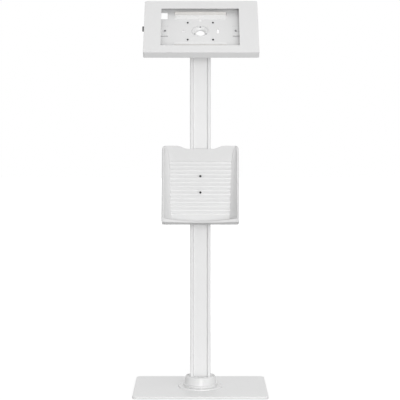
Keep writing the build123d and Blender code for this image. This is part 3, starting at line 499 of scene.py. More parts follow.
# Glossier, lighter copy of the tray moulding for the ribs; the extra lightness is a painted
# highlight
RIB_PAINTED_HIGHLIGHT = Finish(
    "polished_white_rib", grey(0.765), grey(0.75), 0.26, 0.08, 2200.0, 14.0, 1.2e-5, grey(0.87),
    edge_radius=0.0009,
)
# Dark grey finish of the strips along the clamps' sides: a painted shadow of the clamp edges
CLAMP_PAINTED_SHADOW = Finish(
    "grey_nylon_edging", grey(0.16, 0.165), grey(0.12, 0.125), 0.5, 0.1, 1500.0, 50.0, 1e-5,
    grey(0.24), edge_radius=0.0002,
)
# Glossier, lighter copy of the white powder coat for the rails; the extra lightness is a painted
# sheen
GLOSSY_RAIL_PAINTED_SHEEN = Finish(
    "glossy_white_rail", grey(0.85), grey(0.83), 0.28, 0.10, 1400.0, 16.0, 2e-5, grey(0.9)
)
# Lighter copy of the white powder coat for the base plate: a painted highlight over the plate,
# strongest along its rounded edges
BASE_PLATE_PAINTED_HIGHLIGHT = Finish(
    "thick_white_powder_coat", grey(0.835), grey(0.815), 0.40, 0.12, 1000.0, 7.0, 5e-5,
    grey(0.93), edge_radius=0.0022, edge_strength=1.2,
)
NODE_FINISHES = {"upper_rail": GLOSSY_RAIL_PAINTED_SHEEN, "lower_rail": GLOSSY_RAIL_PAINTED_SHEEN, "base_plate": BASE_PLATE_PAINTED_HIGHLIGHT}


# Mesh work


def new_object(name: str, data: bpy.types.ID) -> bpy.types.Object:
    """Makes an object of a mesh, lamp or camera and links it to the scene."""
    item = bpy.data.objects.new(name, data)
    bpy.context.scene.collection.objects.link(item)
    return item


def plain_mesh(name: str, work: bmesh.types.BMesh) -> bpy.types.Mesh:
    """Turns a bmesh into a mesh and frees it."""
    mesh = bpy.data.meshes.new(name)
    work.to_mesh(mesh)
    work.free()
    return mesh


def finished_mesh(name: str, work: bmesh.types.BMesh, smooth_angle: float = 35.0) -> bpy.types.Mesh:
    """Closes a bmesh into a mesh whose faces point outwards.

    Args:
        name: Name of the mesh.
        work: Geometry, freed here.
        smooth_angle: Edges sharper than this, in degrees, stay sharp.

    Returns:
        The mesh.
    """
    bmesh.ops.remove_doubles(work, verts=work.verts, dist=WELD)
    bmesh.ops.recalc_face_normals(work, faces=work.faces)
    mesh = plain_mesh(name, work)
    mesh.shade_smooth()
    mesh.set_sharp_from_angle(angle=math.radians(smooth_angle))
    return mesh


def skin(loops: Sequence[Sequence[Vector]], closed: bool = False) -> bmesh.types.BMesh:
    """Joins loops of points into a solid.

    Args:
        loops: Loops in order, of equal length, or of one point at a pole.
        closed: Whether the last loop joins the first; otherwise both ends get a cap.

    Returns:
        The closed solid.
    """
    work = bmesh.new()
    rows = [[work.verts.new(point) for point in loop] for loop in loops]
    pairs = list(zip(rows, rows[1:]))
    if closed:
        pairs.append((rows[-1], rows[0]))
    for end in () if closed else (rows[0][::-1], rows[-1]):
        if len(end) > 1:
            work.faces.new(end)
    for near, far in pairs:
        for index in range(max(len(near), len(far))):
            edge = [near[index % len(near)], near[(index + 1) % len(near)]]
            edge += [far[(index + 1) % len(far)], far[index % len(far)]]
            work.faces.new(list(dict.fromkeys(edge)))
    return work


def lathe(profile: Points, segments: int) -> bmesh.types.BMesh:
    """Turns a profile about the third axis into a closed solid.

    Args:
        profile: Radius and height of each point, from the top pole to the bottom pole.
        segments: Number of steps round the axis.

    Returns:
        The solid.
    """
    turns = [2 * math.pi * step / segments for step in range(segments)]
    return skin(
        [
            [(radius * math.cos(a), radius * math.sin(a), height) for a in turns]
            if radius
            else [(0, 0, height)]
            for radius, height in profile
        ]
    )


def swell(share: float, least: float = 0.0) -> float:
    """Rounded growth from its least size, at share zero and below, to one, at one and above."""
    left = max(0.0, min(1.0, share))
    return least + (1 - least) * math.sqrt(1 - (1 - left) ** 2)


def arc(centre: Pair, radius: float, start: float, end: float, steps: int) -> Points:
    """Points on an arc.

    Args:
        centre: Middle of the arc.
        radius: Radius of the arc.
        start: First angle in degrees.
        end: Last angle in degrees.
        steps: Number of steps.

    Returns:
        Points from the first to the last angle.
    """
    turns = [math.radians(start + (end - start) * step / steps) for step in range(steps + 1)]
    return [(centre[0] + radius * math.cos(a), centre[1] + radius * math.sin(a)) for a in turns]


def loop_mesh(name: str, points: Points) -> bpy.types.Mesh:
    """Closed loop of edges in the XY plane."""
    work = bmesh.new()
    corners = [work.verts.new((x, y, 0)) for x, y in points]
    for first, second in zip(corners, corners[1:] + corners[:1]):
        work.edges.new((first, second))
    return plain_mesh(name, work)


def soft_block(low: Vector, high: Vector, edge: float, segments: int) -> bmesh.types.BMesh:
    """Block with rounded edges.

    Args:
        low: Lowest corner.
        high: Highest corner.
        edge: Radius of the edges.
        segments: Steps in each rounded edge.

    Returns:
        The block.
    """
    work = bmesh.new()
    matrix = Matrix.Translation((low + high) / 2) @ Matrix.Diagonal((*(high - low), 1))
    bmesh.ops.create_cube(work, size=1, matrix=matrix)
    bmesh.ops.bevel(
        work, geom=work.edges[:], offset=edge, segments=segments, affect="EDGES", profile=0.5
    )
    return work


def join(parts: Sequence[bmesh.types.BMesh]) -> bmesh.types.BMesh:
    """Puts several solids into the first, freeing the others."""
    for part in parts[1:]:
        mesh = plain_mesh("part", part)
        parts[0].from_mesh(mesh)
        bpy.data.meshes.remove(mesh)
    return parts[0]


@dataclass(frozen=True)
class Extent:
    """Box of one solid in a work plane, from its lowest to its highest corner."""

    low: Vector
    high: Vector

    @property
    def middle(self) -> Vector:
        """Middle of the box."""
        return (self.low + self.high) / 2


def solids_of(node: bpy.types.Object, plane: WorkPlane) -> list[Extent]:
    """Boxes of the separate solids of a CAD node.

    Args:
        node: CAD node, left as it is.
        plane: Work plane in which the boxes are measured.

    Returns:
        One box for each solid, sorted by its middle.
    """
    work = bmesh.new()
    work.from_mesh(node.data)
    bmesh.ops.remove_doubles(work, verts=work.verts, dist=SAME_PLACE)
    back, origin = plane.turn.transposed(), Vector(plane.origin)
    left = set(work.verts)
    boxes = []
    while left:
        front = [left.pop()]
        found = []
        while front:
            vertex = front.pop()
            found.append(back @ (vertex.co - origin))
            near = {edge.other_vert(vertex) for edge in vertex.link_edges} & left
            left -= near
            front += near
        low, high = (Vector([pick(p[a] for p in found) for a in range(3)]) for pick in (min, max))
        boxes.append(Extent(low, high))
    work.free()
    return sorted(boxes, key=lambda box: tuple(round(c, 5) for c in box.middle))


# Geometry node trees


class Repeaters:
    """Geometry node trees for what repeats or follows a path."""

    def __init__(self) -> None:
        """Builds the trees once."""
        self.on_points = self._on_points()
        self.along_line = self._along_line()
        self.swept = self._swept()

    @staticmethod
    def _start(name: str, own: dict[str, str]) -> tuple[NodeSheet, bpy.types.NodeOutputs]:
        """Starts a tree with its own inputs and those that all trees have."""
        inputs = {"Geometry": "Geometry", **own, "Finish": "Material"}
        return new_group(name, "GeometryNodeTree", inputs, {"Geometry": "Geometry"})

    @staticmethod
    def _shape(sheet: NodeSheet, item: bpy.types.NodeSocket) -> bpy.types.NodeSocket:
        """Geometry of an object as it stands."""
        node = sheet.add("GeometryNodeObjectInfo", {"Object": item}, transform_space="ORIGINAL")
        return node.outputs["Geometry"]

    @staticmethod
    def _end(
        sheet: NodeSheet, given: bpy.types.NodeOutputs, made: bpy.types.NodeSocket
    ) -> bpy.types.NodeTree:
        """Ends a tree in Realize Instances and Set Material."""
        real = sheet.add("GeometryNodeRealizeInstances", {"Geometry": made}).outputs[0]
        values = {"Geometry": real, "Material": given["Finish"]}
        return sheet.give({"Geometry": sheet.add("GeometryNodeSetMaterial", values).outputs[0]})

    def _on_points(self) -> bpy.types.NodeTree:
        """One pattern on each point, turned about the third axis by a seeded amount."""
        inputs = {"Pattern": "Object", "Largest Turn": "Float", "Seed": "Int"}
        sheet, given = self._start("repeat_on_points", inputs)
        values = {"Min": 0.0, "Max": given["Largest Turn"], "Seed": given["Seed"]}
        chance = sheet.add("FunctionNodeRandomValue", values, data_type="FLOAT")
        values = {"Axis": (0, 0, 1), "Angle": chance.outputs["Value"]}
        spin = sheet.add("FunctionNodeAxisAngleToRotation", values)
        values = {
            "Points": given["Geometry"],
            "Instance": self._shape(sheet, given["Pattern"]),
            "Rotation": spin.outputs["Rotation"],
        }
        put = sheet.add("GeometryNodeInstanceOnPoints", values)
        return self._end(sheet, given, put.outputs["Instances"])

    def _along_line(self) -> bpy.types.NodeTree:
        """A row of one pattern at equal steps."""
        inputs = {"Pattern": "Object", "Count": "Int", "First": "Vector", "Step": "Vector"}
        sheet, given = self._start("repeat_along_line", inputs)
        values = {
            "Count": given["Count"],
            "Start Location": given["First"],
            "Offset": given["Step"],
        }
        line = sheet.add("GeometryNodeMeshLine", values, mode="OFFSET").outputs["Mesh"]
        values = {"Points": line, "Instance": self._shape(sheet, given["Pattern"])}
        put = sheet.add("GeometryNodeInstanceOnPoints", values)
        return self._end(sheet, given, put.outputs["Instances"])

    def _swept(self) -> bpy.types.NodeTree:
        """A section swept round a closed flat path."""
        sheet, given = self._start("sweep_round_path", {"Section": "Object"})
        path, section = (
            sheet.add("GeometryNodeMeshToCurve", {"Mesh": mesh}).outputs["Curve"]
            for mesh in (given["Geometry"], self._shape(sheet, given["Section"]))
        )
        level = sheet.add("GeometryNodeSetCurveNormal", {"Curve": path}, mode="Z_UP")
        values = {"Curve": level.outputs["Curve"], "Profile Curve": section}
        sweep = sheet.add("GeometryNodeCurveToMesh", values)
        return self._end(sheet, given, sweep.outputs["Mesh"])


def run_tree(
    name: str, start: bpy.types.Mesh, tree: bpy.types.NodeTree, values: dict[str, object]
) -> bpy.types.Mesh:
    """Evaluates a geometry node tree once and keeps the result as a plain mesh.

    Args:
        name: Name of the new mesh.
        start: Mesh that the tree starts from.
        tree: Geometry node tree.
        values: Value of each named input.

    Returns:
        The plain mesh.
    """
    carrier = new_object(name + "_carrier", start)
    modifier = carrier.modifiers.new("repeat", "NODES")
    modifier.node_group = tree
    inputs = (item for item in tree.interface.items_tree if item.in_out == "INPUT")
    sockets = {item.name: item.identifier for item in inputs}
    for label, value in values.items():
        modifier[sockets[label]] = value
    carrier.update_tag()
    depsgraph = bpy.context.evaluated_depsgraph_get()
    depsgraph.update()
    mesh = bpy.data.meshes.new_from_object(carrier.evaluated_get(depsgraph), depsgraph=depsgraph)
    mesh.name = name
    carrier.modifiers.remove(modifier)
    bpy.data.objects.remove(carrier)
    return mesh


@dataclass
class Workshop:
    """What every sub-assembly needs.

    Attributes:
        frame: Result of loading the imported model.
        groups: Shared shader groups.
        materials: Finished material of each slot.
        repeaters: Geometry node trees.
        made: Names of the pieces made so far.
    """

    frame: dict
    groups: SurfaceGroups
    materials: dict[Slot, bpy.types.Material]
    repeaters: Repeaters
    made: list[str] = field(default_factory=list)

    def solids(self, node: str, plane: WorkPlane = HEAD) -> list[Extent]:
        """Boxes of the solids of a CAD node in a work plane."""
        return solids_of(self.frame["nodes"][node], plane)

    def keep(
        self,
        name: str,
        mesh: bpy.types.Mesh,
        body: Body,
        slot: Slot,
        plane: WorkPlane | None = None,
        stands_for: str | None = None,
        finish: bpy.types.Material | None = None,
    ) -> bpy.types.Object:
        """Turns a mesh into a finished piece that rides on a body.

        Args:
            name: Name of the piece.
            mesh: Its mesh.
            body: Body that it rides on.
            slot: Material slot that it takes its finish from.
            plane: Work plane in which the mesh was made, where it wasn't made in the frame.
            stands_for: CAD node that it replaces.
            finish: Material, where it isn't the slot's own.

        Returns:
            The piece.
        """
        if plane is not None:
            mesh.transform(plane.matrix)
            mesh.update()
        mesh.materials.clear()
        mesh.materials.append(finish or self.materials[slot])
        piece = new_object(name, mesh)
        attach(piece, body.value)
        if stands_for:
            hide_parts(stands_for)
        self.made.append(name)
        LOG.info("piece %s on %s, %d faces", name, body.value, len(mesh.polygons))
        return piece

    def repeat(
        self,
        name: str,
        pattern: bmesh.types.BMesh,
        tree: bpy.types.NodeTree,
        values: dict[str, object],
        places: Sequence[Place] = (),
        smooth_angle: float = 35.0,
    ) -> bpy.types.Mesh:
        """Repeats a pattern with a geometry node tree.

        Args:
            name: Name of the mesh.
            pattern: Geometry of one item, freed here.
            tree: Geometry node tree.
            values: Values of the tree's other inputs.
            places: Points that the tree starts from.
            smooth_angle: Edges sharper than this, in degrees, stay sharp.

        Returns:
            One plain mesh with all the items.
        """
        label = name + "_pattern"
        item = new_object(label, finished_mesh(label, pattern, smooth_angle))
        start = bpy.data.meshes.new(name + "_start")
        start.from_pydata(places, [], [])
        mesh = run_tree(name, start, tree, {"Pattern": item, **values})
        bpy.data.objects.remove(item)
        return mesh


@dataclass
class SubAssembly:
    """Sub-assembly of the stand, made in a workshop."""

    shop: Workshop


# Fixings


@dataclass(frozen=True)
class PanHeadScrew:
    """Machine screw with a domed head, a cross recess and a rolled thread.

    Attributes:
        head_radius: Radius of the head.
        head_height: Height of the head over its seat.
        shank_radius: Radius over the thread.
        pitch: Distance between two thread crests.
        SEGMENTS: Steps round the axis.
        CROWN: Radius and height of points on top of the head, as shares of the head's.
        BEND: Radius of the head's rounded edge, as a share of its height.
        SKIRT: Radius and height of points at the foot of the head, as shares of the head's.
        ROOT: Radius at the thread's root, as a share of that over the thread.
        THREAD: Places of a crest and a root in each turn, as shares of the pitch.
        TIP: Height of the tip's chamfer in pitches, and radius of the tip, as a share of the root's.
        ARM: Length and half width of the recess's arms, as shares of the head's radius.
        RECESS: Size of the recess at its floor and above the head, and height of each, as shares.
    """

    SEGMENTS: ClassVar[int] = 28
    CROWN: ClassVar[Pairs] = ((0.0, 1.0), (0.55, 0.985))
    BEND: ClassVar[float] = 0.45
    SKIRT: ClassVar[Pairs] = ((1.0, 0.08), (0.96, 0.0))
    ROOT: ClassVar[float] = 0.88
    THREAD: ClassVar[Pair] = (0.35, 0.85)
    TIP: ClassVar[Pair] = (0.3, 0.7)
    ARM: ClassVar[Pair] = (0.52, 0.13)
    RECESS: ClassVar[Pairs] = ((0.45, 0.25), (1.0, 1.4))

    head_radius: float
    head_height: float
    shank_radius: float
    pitch: float

    def build(self, length: float) -> bmesh.types.BMesh:
        """Builds one screw along the third axis, its seat at height zero.

        Args:
            length: Length under the seat.

        Returns:
            The closed solid.
        """
        radius, height, shank = self.head_radius, self.head_height, self.shank_radius
        bend, root = self.BEND * height, self.ROOT * shank
        profile = [(out * radius, up * height) for out, up in self.CROWN]
        profile += arc((radius - bend, height / 2), bend, 80, 0, 4)
        profile += [(out * radius, up * height) for out, up in self.SKIRT]
        profile.append((shank, 0.0))
        for turn in range(max(1, int((length - 2 * self.pitch) / self.pitch))):
            for out, place in zip((shank, root), self.THREAD):
                profile.append((out, -self.pitch * (turn + place)))
        chamfer, tip = self.TIP[0] * self.pitch, self.TIP[1] * root
        profile += [(root, -length + chamfer), (tip, -length), (0.0, -length)]
        return self._cut_cross(lathe(profile, self.SEGMENTS))

    def _cut_cross(self, blank: bmesh.types.BMesh) -> bmesh.types.BMesh:
        """Cuts the tapered cross recess into the head.

        Args:
            blank: Screw without its recess, freed here.

        Returns:
            Screw with its recess.
        """
        arm, half = (share * self.head_radius for share in self.ARM)
        quarter = [(arm, -half), (arm, half), (half, half)]
        outline = [
            (x * c - y * s, x * s + y * c)
            for c, s in ((1, 0), (0, 1), (-1, 0), (0, -1))
            for x, y in quarter
        ]
        cutter = skin(
            [
                [(x * size, y * size, up * self.head_height) for x, y in outline]
                for size, up in self.RECESS
            ]
        )
        screw, tool = (
            new_object(name, finished_mesh(name, work))
            for name, work in (("screw_blank", blank), ("screw_recess", cutter))
        )
        modifier = screw.modifiers.new("recess", "BOOLEAN")
        modifier.object = tool
        modifier.solver = "EXACT"
        depsgraph = bpy.context.evaluated_depsgraph_get()
        depsgraph.update()
        cut = bmesh.new()
        cut.from_mesh(screw.evaluated_get(depsgraph).data)
        bpy.data.objects.remove(screw)
        bpy.data.objects.remove(tool)
        return cut


@dataclass
class Fixings(SubAssembly):
    """Screws and rivets that stand for the plain ones of the CAD.

    Attributes:
        SMALL, MEDIUM, PANEL, LARGE, PORT: Kinds of screw.
        RIVET_RADIUS: Radius of a rivet.
        RIVET_DOME: Radius and height of points on a rivet, as shares.
        RIVET_SEGMENTS: Steps round a rivet.
    """

    SMALL: ClassVar[PanHeadScrew] = PanHeadScrew(0.0027, 0.0014, 0.0015, 0.0006)
    MEDIUM: ClassVar[PanHeadScrew] = PanHeadScrew(0.0029, 0.0024, 0.002, 0.0008)
    PANEL: ClassVar[PanHeadScrew] = PanHeadScrew(0.0033, 0.0028, 0.0025, 0.001)
    LARGE: ClassVar[PanHeadScrew] = PanHeadScrew(0.0044, 0.0028, 0.0025, 0.001)
    PORT: ClassVar[PanHeadScrew] = PanHeadScrew(0.0044, 0.0028, 0.0021, 0.001)
    RIVET_RADIUS: ClassVar[float] = 0.003
    RIVET_DOME: ClassVar[Pairs] = (
        (0.0, 0.9), (0.28, 0.92), (0.34, 1.0), (0.62, 0.93), (0.86, 0.66), (0.98, 0.3),
        (1.0, 0.0), (0.0, 0.0),
    )
    RIVET_SEGMENTS: ClassVar[int] = 24

    def screws(
        self,
        name: str,
        node: str,
        body: Body,
        slot: Slot,
        screw: PanHeadScrew,
        plane: WorkPlane,
        seed: int,
    ) -> None:
        """Makes the screws of one CAD node.

        Args:
            name: Name of the piece.
            node: CAD node that it stands for.
            body: Body that carries the screws.
            slot: Material slot.
            screw: Kind of screw.
            plane: Work plane whose outward direction the screws point along.
            seed: Seed of the turned recesses.
        """
        boxes = self.shop.solids(node, plane)
        pattern = screw.build(boxes[0].high.z - boxes[0].low.z - screw.head_height)
        places = [(box.middle.x, box.middle.y, box.high.z - screw.head_height) for box in boxes]
        values = {
            "Largest Turn": math.pi / 2,
            "Seed": seed,
            "Finish": self.shop.materials[slot],
        }
        mesh = self.shop.repeat(name, pattern, self.shop.repeaters.on_points, values, places)
        self.shop.keep(name, mesh, body, slot, plane, node)

    def rivets(self) -> None:
        """Makes the domed rivets of the support rails."""
        shop, name, slot = self.shop, "rail_rivet_heads", Slot.STEEL_WHITE
        boxes = shop.solids("rail_rivets")
        height = boxes[0].high.z - boxes[0].low.z
        profile = [(self.RIVET_RADIUS * out, height * up) for out, up in self.RIVET_DOME]
        pattern = lathe(profile, self.RIVET_SEGMENTS)
        places = [(box.middle.x, box.middle.y, box.low.z) for box in boxes]
        values = {"Largest Turn": 0.0, "Finish": shop.materials[slot]}
        mesh = shop.repeat(name, pattern, shop.repeaters.on_points, values, places)
        shop.keep(name, mesh, Body.ENCLOSURE, slot, HEAD, "rail_rivets")

    def make(self) -> None:
        """Makes all fixings."""
        black, grey_screw, zinc = Slot.DARK_SCREW, Slot.GREY_SCREW, Slot.ZINC_STEEL
        stand, frame, pan = Body.STAND, Body.TILT_FRAME, Body.ENCLOSURE
        for row in (
            ("tray_fixings", "tray_screws", stand, black, self.PANEL, TRAY, 3),
            ("pan_fixings", "vesa_screws", pan, black, self.MEDIUM, HEAD, 11),
            ("clamp_fixings", "clamp_screws", pan, grey_screw, self.MEDIUM, HEAD, 5),
            ("hub_fixings", "swivel_hub_screws", frame, grey_screw, self.SMALL, HEAD, 2),
            ("fork_fixings", "head_bracket_screws", stand, zinc, self.PORT, FLOOR, 9),
            ("bracket_fixings", "tray_bracket_screws", stand, zinc, self.LARGE, UPRIGHT, 4),
        ):
            self.screws(*row)
        self.rivets()


# Stand


@dataclass
class FootPads(SubAssembly):
    """Rubber pads under the base plate, with a chamfered rim and grip rings.

    Attributes:
        chamfer: Size of the upper chamfer.
        heel: Width and height of the lower chamfer.
        groove: Depth of the rings in the underside, and half of their width.
        flank: Width of a ring's sloping side.
        rings: Number of rings.
        segments: Steps round a pad.
    """

    chamfer: float = 0.0004
    heel: Pair = (0.0005, 0.0006)
    groove: float = 0.0005
    flank: float = 0.0004
    rings: int = 4
    segments: int = 48

    def make(self) -> None:
        """Makes the four pads."""
        shop, name, slot = self.shop, "floor_pads", Slot.RUBBER_BLACK
        boxes = shop.solids("base_feet", UPRIGHT)
        radius = (boxes[0].high.x - boxes[0].low.x) / 2
        height = boxes[0].high.y - boxes[0].low.y
        profile = [(0.0, height), (radius - self.chamfer, height)]
        profile += [(radius, height - self.chamfer), (radius, self.heel[1])]
        profile.append((radius - self.heel[0], 0.0))
        inner, outer = self.groove, self.groove + self.flank
        for ring in range(self.rings, 0, -1):
            middle = radius / (self.rings + 1) * ring
            profile += [(middle + outer, 0.0), (middle + inner, self.groove)]
            profile += [(middle - inner, self.groove), (middle - outer, 0.0)]
        profile.append((0.0, 0.0))
        places = [(box.middle.x, -box.middle.z, box.low.y) for box in boxes]
        values = {"Largest Turn": 0.0, "Finish": shop.materials[slot]}
        pattern = lathe(profile, self.segments)
        mesh = shop.repeat(name, pattern, shop.repeaters.on_points, values, places)
        shop.keep(name, mesh, Body.STAND, slot, stands_for="base_feet")


@dataclass
class PortLiners(SubAssembly):
    """Rubber liners of the two cable ports in the back of the column.

    Attributes:
        inner_radius: Radius of the ends of the clear opening.
        straight: Length of the straight sides.
        wall: Thickness of the column wall.
        lip: Thickness of each lip.
        reach: Width of each lip.
        waist: Width of the part inside the wall.
        round_off: Radius of the lips' edges.
    """

    inner_radius: float = 0.0075
    straight: float = 0.020
    wall: float = 0.0025
    lip: float = 0.0016
    reach: float = 0.005
    waist: float = 0.0023
    round_off: float = 0.0006

    def section(self) -> Points:
        """Section of the liner: distance out from the opening, and depth from the inner face."""
        r, far, out = self.round_off, self.wall + self.lip, self.reach
        points = arc((r, r - self.lip), r, 180, 270, 3)
        points += arc((out - r, r - self.lip), r, 270, 360, 3)
        points += [(out, 0.0), (self.waist, 0.0), (self.waist, self.wall), (out, self.wall)]
        points += arc((out - r, far - r), r, 0, 90, 3)
        return points + arc((r, far - r), r, 90, 180, 3)

    def path(self) -> Points:
        """Round-ended path of the clear opening."""
        half = self.straight / 2
        points = arc((0.0, half), self.inner_radius, 0, 180, 14)
        return points + arc((0.0, -half), self.inner_radius, 180, 360, 14)

    def make(self) -> None:
        """Sweeps both liners."""
        shop, name, slot = self.shop, "port_liners", Slot.RUBBER_BLACK
        section = new_object("liner_section", loop_mesh("liner_section", self.section()))
        values = {"Section": section, "Finish": shop.materials[slot]}
        path = loop_mesh("liner_path", self.path())
        ring = run_tree("liner", path, shop.repeaters.swept, values)
        bpy.data.objects.remove(section)
        whole = bmesh.new()
        for box in shop.solids("cable_grommets", UPRIGHT):
            place = Matrix.Translation((box.middle.x, self.lip - box.high.z, box.middle.y))
            copy = ring.copy()
            copy.transform(place @ Matrix.Rotation(-math.pi / 2, 4, "X"))
            whole.from_mesh(copy)
            bpy.data.meshes.remove(copy)
        bpy.data.meshes.remove(ring)
        mesh = finished_mesh(name, whole)
        shop.keep(name, mesh, Body.STAND, slot, stands_for="cable_grommets")


@dataclass(frozen=True)
class TrayForm:
    """Main sizes of the moulded tray in its work plane.

    Attributes:
        panel: Height of the panel face over the tray plane.
        wall_top: Distance of the walls' front edge from the middle.
        draft: Angle in degrees between a wall and the outward direction.
        foot_depth: Depth of the tray at its foot.
        head_depth: Depth of the tray at its head.
        length: Length of the tray.
    """

    panel: float = 0.0025
    wall_top: float = 0.107
    draft: float = 15.0
    foot_depth: float = 0.040
    head_depth: float = 0.008
    length: float = 0.240

    def depth(self, up: float) -> float:
        """Depth of the tray at a place up the panel."""
        return self.foot_depth + (self.head_depth - self.foot_depth) * up / self.length


TRAY_FORM = TrayForm()


@dataclass
class TrayRibs(SubAssembly):
    """Soft moulded ribs across the tray panel.

    Attributes:
        half_length: Half of the length of a rib.
        pitch: Distance between two ribs.
        first: Place of the lowest rib up the panel.
        width: Width of a rib.
        crest: Distance of the crest from the lower edge.
        shoulder: Distance from the lower edge where the upper slope starts.
        proud: Height of a main rib.
        foot: How far a main rib starts below its lower edge.
        crest_share: Height of the crest, as a share of the shoulder's.
        rise: Steps up the lower slope.
        fall: Steps down the upper slope.
        root: Depth of a rib's underside in the panel.
        ends: Distances of the sections from each end.
        minor_scale: Width of the faint rib between two main ribs, as a share of a main rib's.
        minor_proud: Height of that faint rib.
        minor_drop: How far it lies under the main rib, as a share of the pitch.
        count: Number of main ribs.
    """

    half_length: float = 0.0915
    pitch: float = 0.0242
    first: float = 0.0395
    width: float = 0.0084
    crest: float = 0.0019
    shoulder: float = 0.0036
    proud: float = 0.0019
    foot: float = 0.0016
    crest_share: float = 0.95
    rise: int = 5
    fall: int = 7
    root: float = 0.0003
    ends: tuple[float, ...] = (0.0, 0.0006, 0.0015, 0.003, 0.0048, 0.007)
    minor_scale: float = 0.5
    minor_proud: float = 0.0006
    minor_drop: float = 0.4
    count: int = 7

    @staticmethod
    def ease(share: float) -> float:
        """Smooth step from zero to one."""
        return share * share * (3 - 2 * share)

    def rib(self, scale: float, proud: float) -> bmesh.types.BMesh:
        """Builds one rib with soft slopes and ends.

        Args:
            scale: Width across the rib, as a share of a main rib's.
            proud: Height of the crest.

        Returns:
            The closed solid, its lower edge just below the X axis.
        """
        start, crest, shoulder, end = (
            scale * value for value in (-self.foot, self.crest, self.shoulder, self.width)
        )
        profile = [
            (start + (crest - start) * share, self.crest_share * proud * self.ease(share))
            for share in (step / self.rise for step in range(self.rise + 1))
        ]
        profile += [
            (shoulder + (end - shoulder) * share, proud * self.ease(1 - share))
            for share in (step / self.fall for step in range(self.fall + 1))
        ]
        xs = [distance - self.half_length for distance in self.ends]
        xs += [-x for x in reversed(xs)]
        loops = []
        for x in xs:
            size = swell((self.half_length - abs(x)) / self.ends[-1])
            top = [(x, up, high * size) for up, high in profile]
            loops.append(top + [(x, up, -self.root) for up, _ in reversed(profile)])
        return skin(loops)

    def make(self) -> None:
        """Makes the main ribs and the faint ones between them."""
        shop, slot = self.shop, Slot.TRAY_PLASTIC
        # The ribs take a lighter copy of the tray's finish, a painted highlight on them
        rib_highlight_finish = RIB_PAINTED_HIGHLIGHT.build(shop.groups)
        drop = self.minor_drop * self.pitch
        for name, rib, first in (
            ("tray_ribs", self.rib(1.0, self.proud), self.first),
            ("tray_faint_ribs", self.rib(self.minor_scale, self.minor_proud), self.first - drop),
        ):
            values = {
                "Count": self.count,
                "First": (0.0, first, TRAY_FORM.panel),
                "Step": (0.0, self.pitch, 0.0),
                "Finish": rib_highlight_finish,
            }
            tree = shop.repeaters.along_line
            mesh = shop.repeat(name, rib, tree, values, smooth_angle=60)
            shop.keep(name, mesh, Body.STAND, slot, TRAY, finish=rib_highlight_finish)


@dataclass
class TraySides(SubAssembly):
    """Two long solids moulded on the tray, one on each side.

    Attributes:
        name: Name of the piece.
        start: Lowest section up the panel.
        end: Highest section.
        stations: Number of steps between them.
        smooth_angle: Edges sharper than this, in degrees, stay sharp.
    """

    name: ClassVar[str]
    start: float
    end: float
    stations: int
    smooth_angle: float

    def section(self, up: float, side: Side) -> list[Vector]:
        """Closed loop of points in the tray plane, at one place up the panel."""
        raise NotImplementedError

    def make(self) -> None:
        """Makes both sides as one piece."""
        places = [
            self.start + (self.end - self.start) * index / self.stations
            for index in range(self.stations + 1)
        ]
        sides = [skin([self.section(up, side) for up in places]) for side in Side]
        mesh = finished_mesh(self.name, join(sides), self.smooth_angle)
        self.shop.keep(self.name, mesh, Body.STAND, Slot.TRAY_PLASTIC, TRAY)


@dataclass
class TrayCoves(TraySides):
    """Soft hollow slopes between the tray panel and its two raked side walls.

    Attributes:
        reach: Width of the slope on the panel.
        share: Share of the wall that the slope takes.
        hollow: How far it bends from a straight slope, at zero, to the sharp corner, at one.
        sink: How far its edges lie under the surfaces that they meet.
        backing: Distance of its hidden corner behind the tray's own corner.
        fade: Place up the panel where it starts to run out.
        least: Share of its size that it has left at its end.
        steps: Steps across the slope.
    """

    name: ClassVar[str] = "tray_coves"
    start: float = 0.0008
    end: float = 0.2365
    stations: int = 30
    smooth_angle: float = 40
    reach: float = 0.012
    share: float = 0.97
    hollow: float = 0.4
    sink: float = 0.00003
    backing: float = 0.001
    fade: float = 0.165
    least: float = 0.12
    steps: int = 10

    def section(self, up: float, side: Side) -> list[Vector]:
        """Section of a slope at one place up the panel.

        Args:
            up: Place up the panel.
            side: Side of the tray.

        Returns:
            Closed loop of points in the tray plane.
        """
        panel, rake = TRAY_FORM.panel, math.tan(math.radians(TRAY_FORM.draft))
        wall = TRAY_FORM.depth(up) - panel
        corner = TRAY_FORM.wall_top - wall * rake
        size = swell((self.end - up) / (self.end - self.fade), self.least)
        rise = self.share * wall * size
        low = Vector((corner - self.reach * size, panel - self.sink))
        high = Vector((corner + rise * rake + self.sink, panel + rise))
        bend = self.hollow * Vector((corner, panel)) + (1 - self.hollow) * (low + high) / 2
        points = []
        for step in range(self.steps + 1):
            t = step / self.steps
            across, out = (1 - t) ** 2 * low + 2 * t * (1 - t) * bend + t * t * high
            points.append(Vector((side.value * across, up, out)))
        across = corner + self.backing
        return points + [Vector((side.value * across, up, panel - self.backing))]


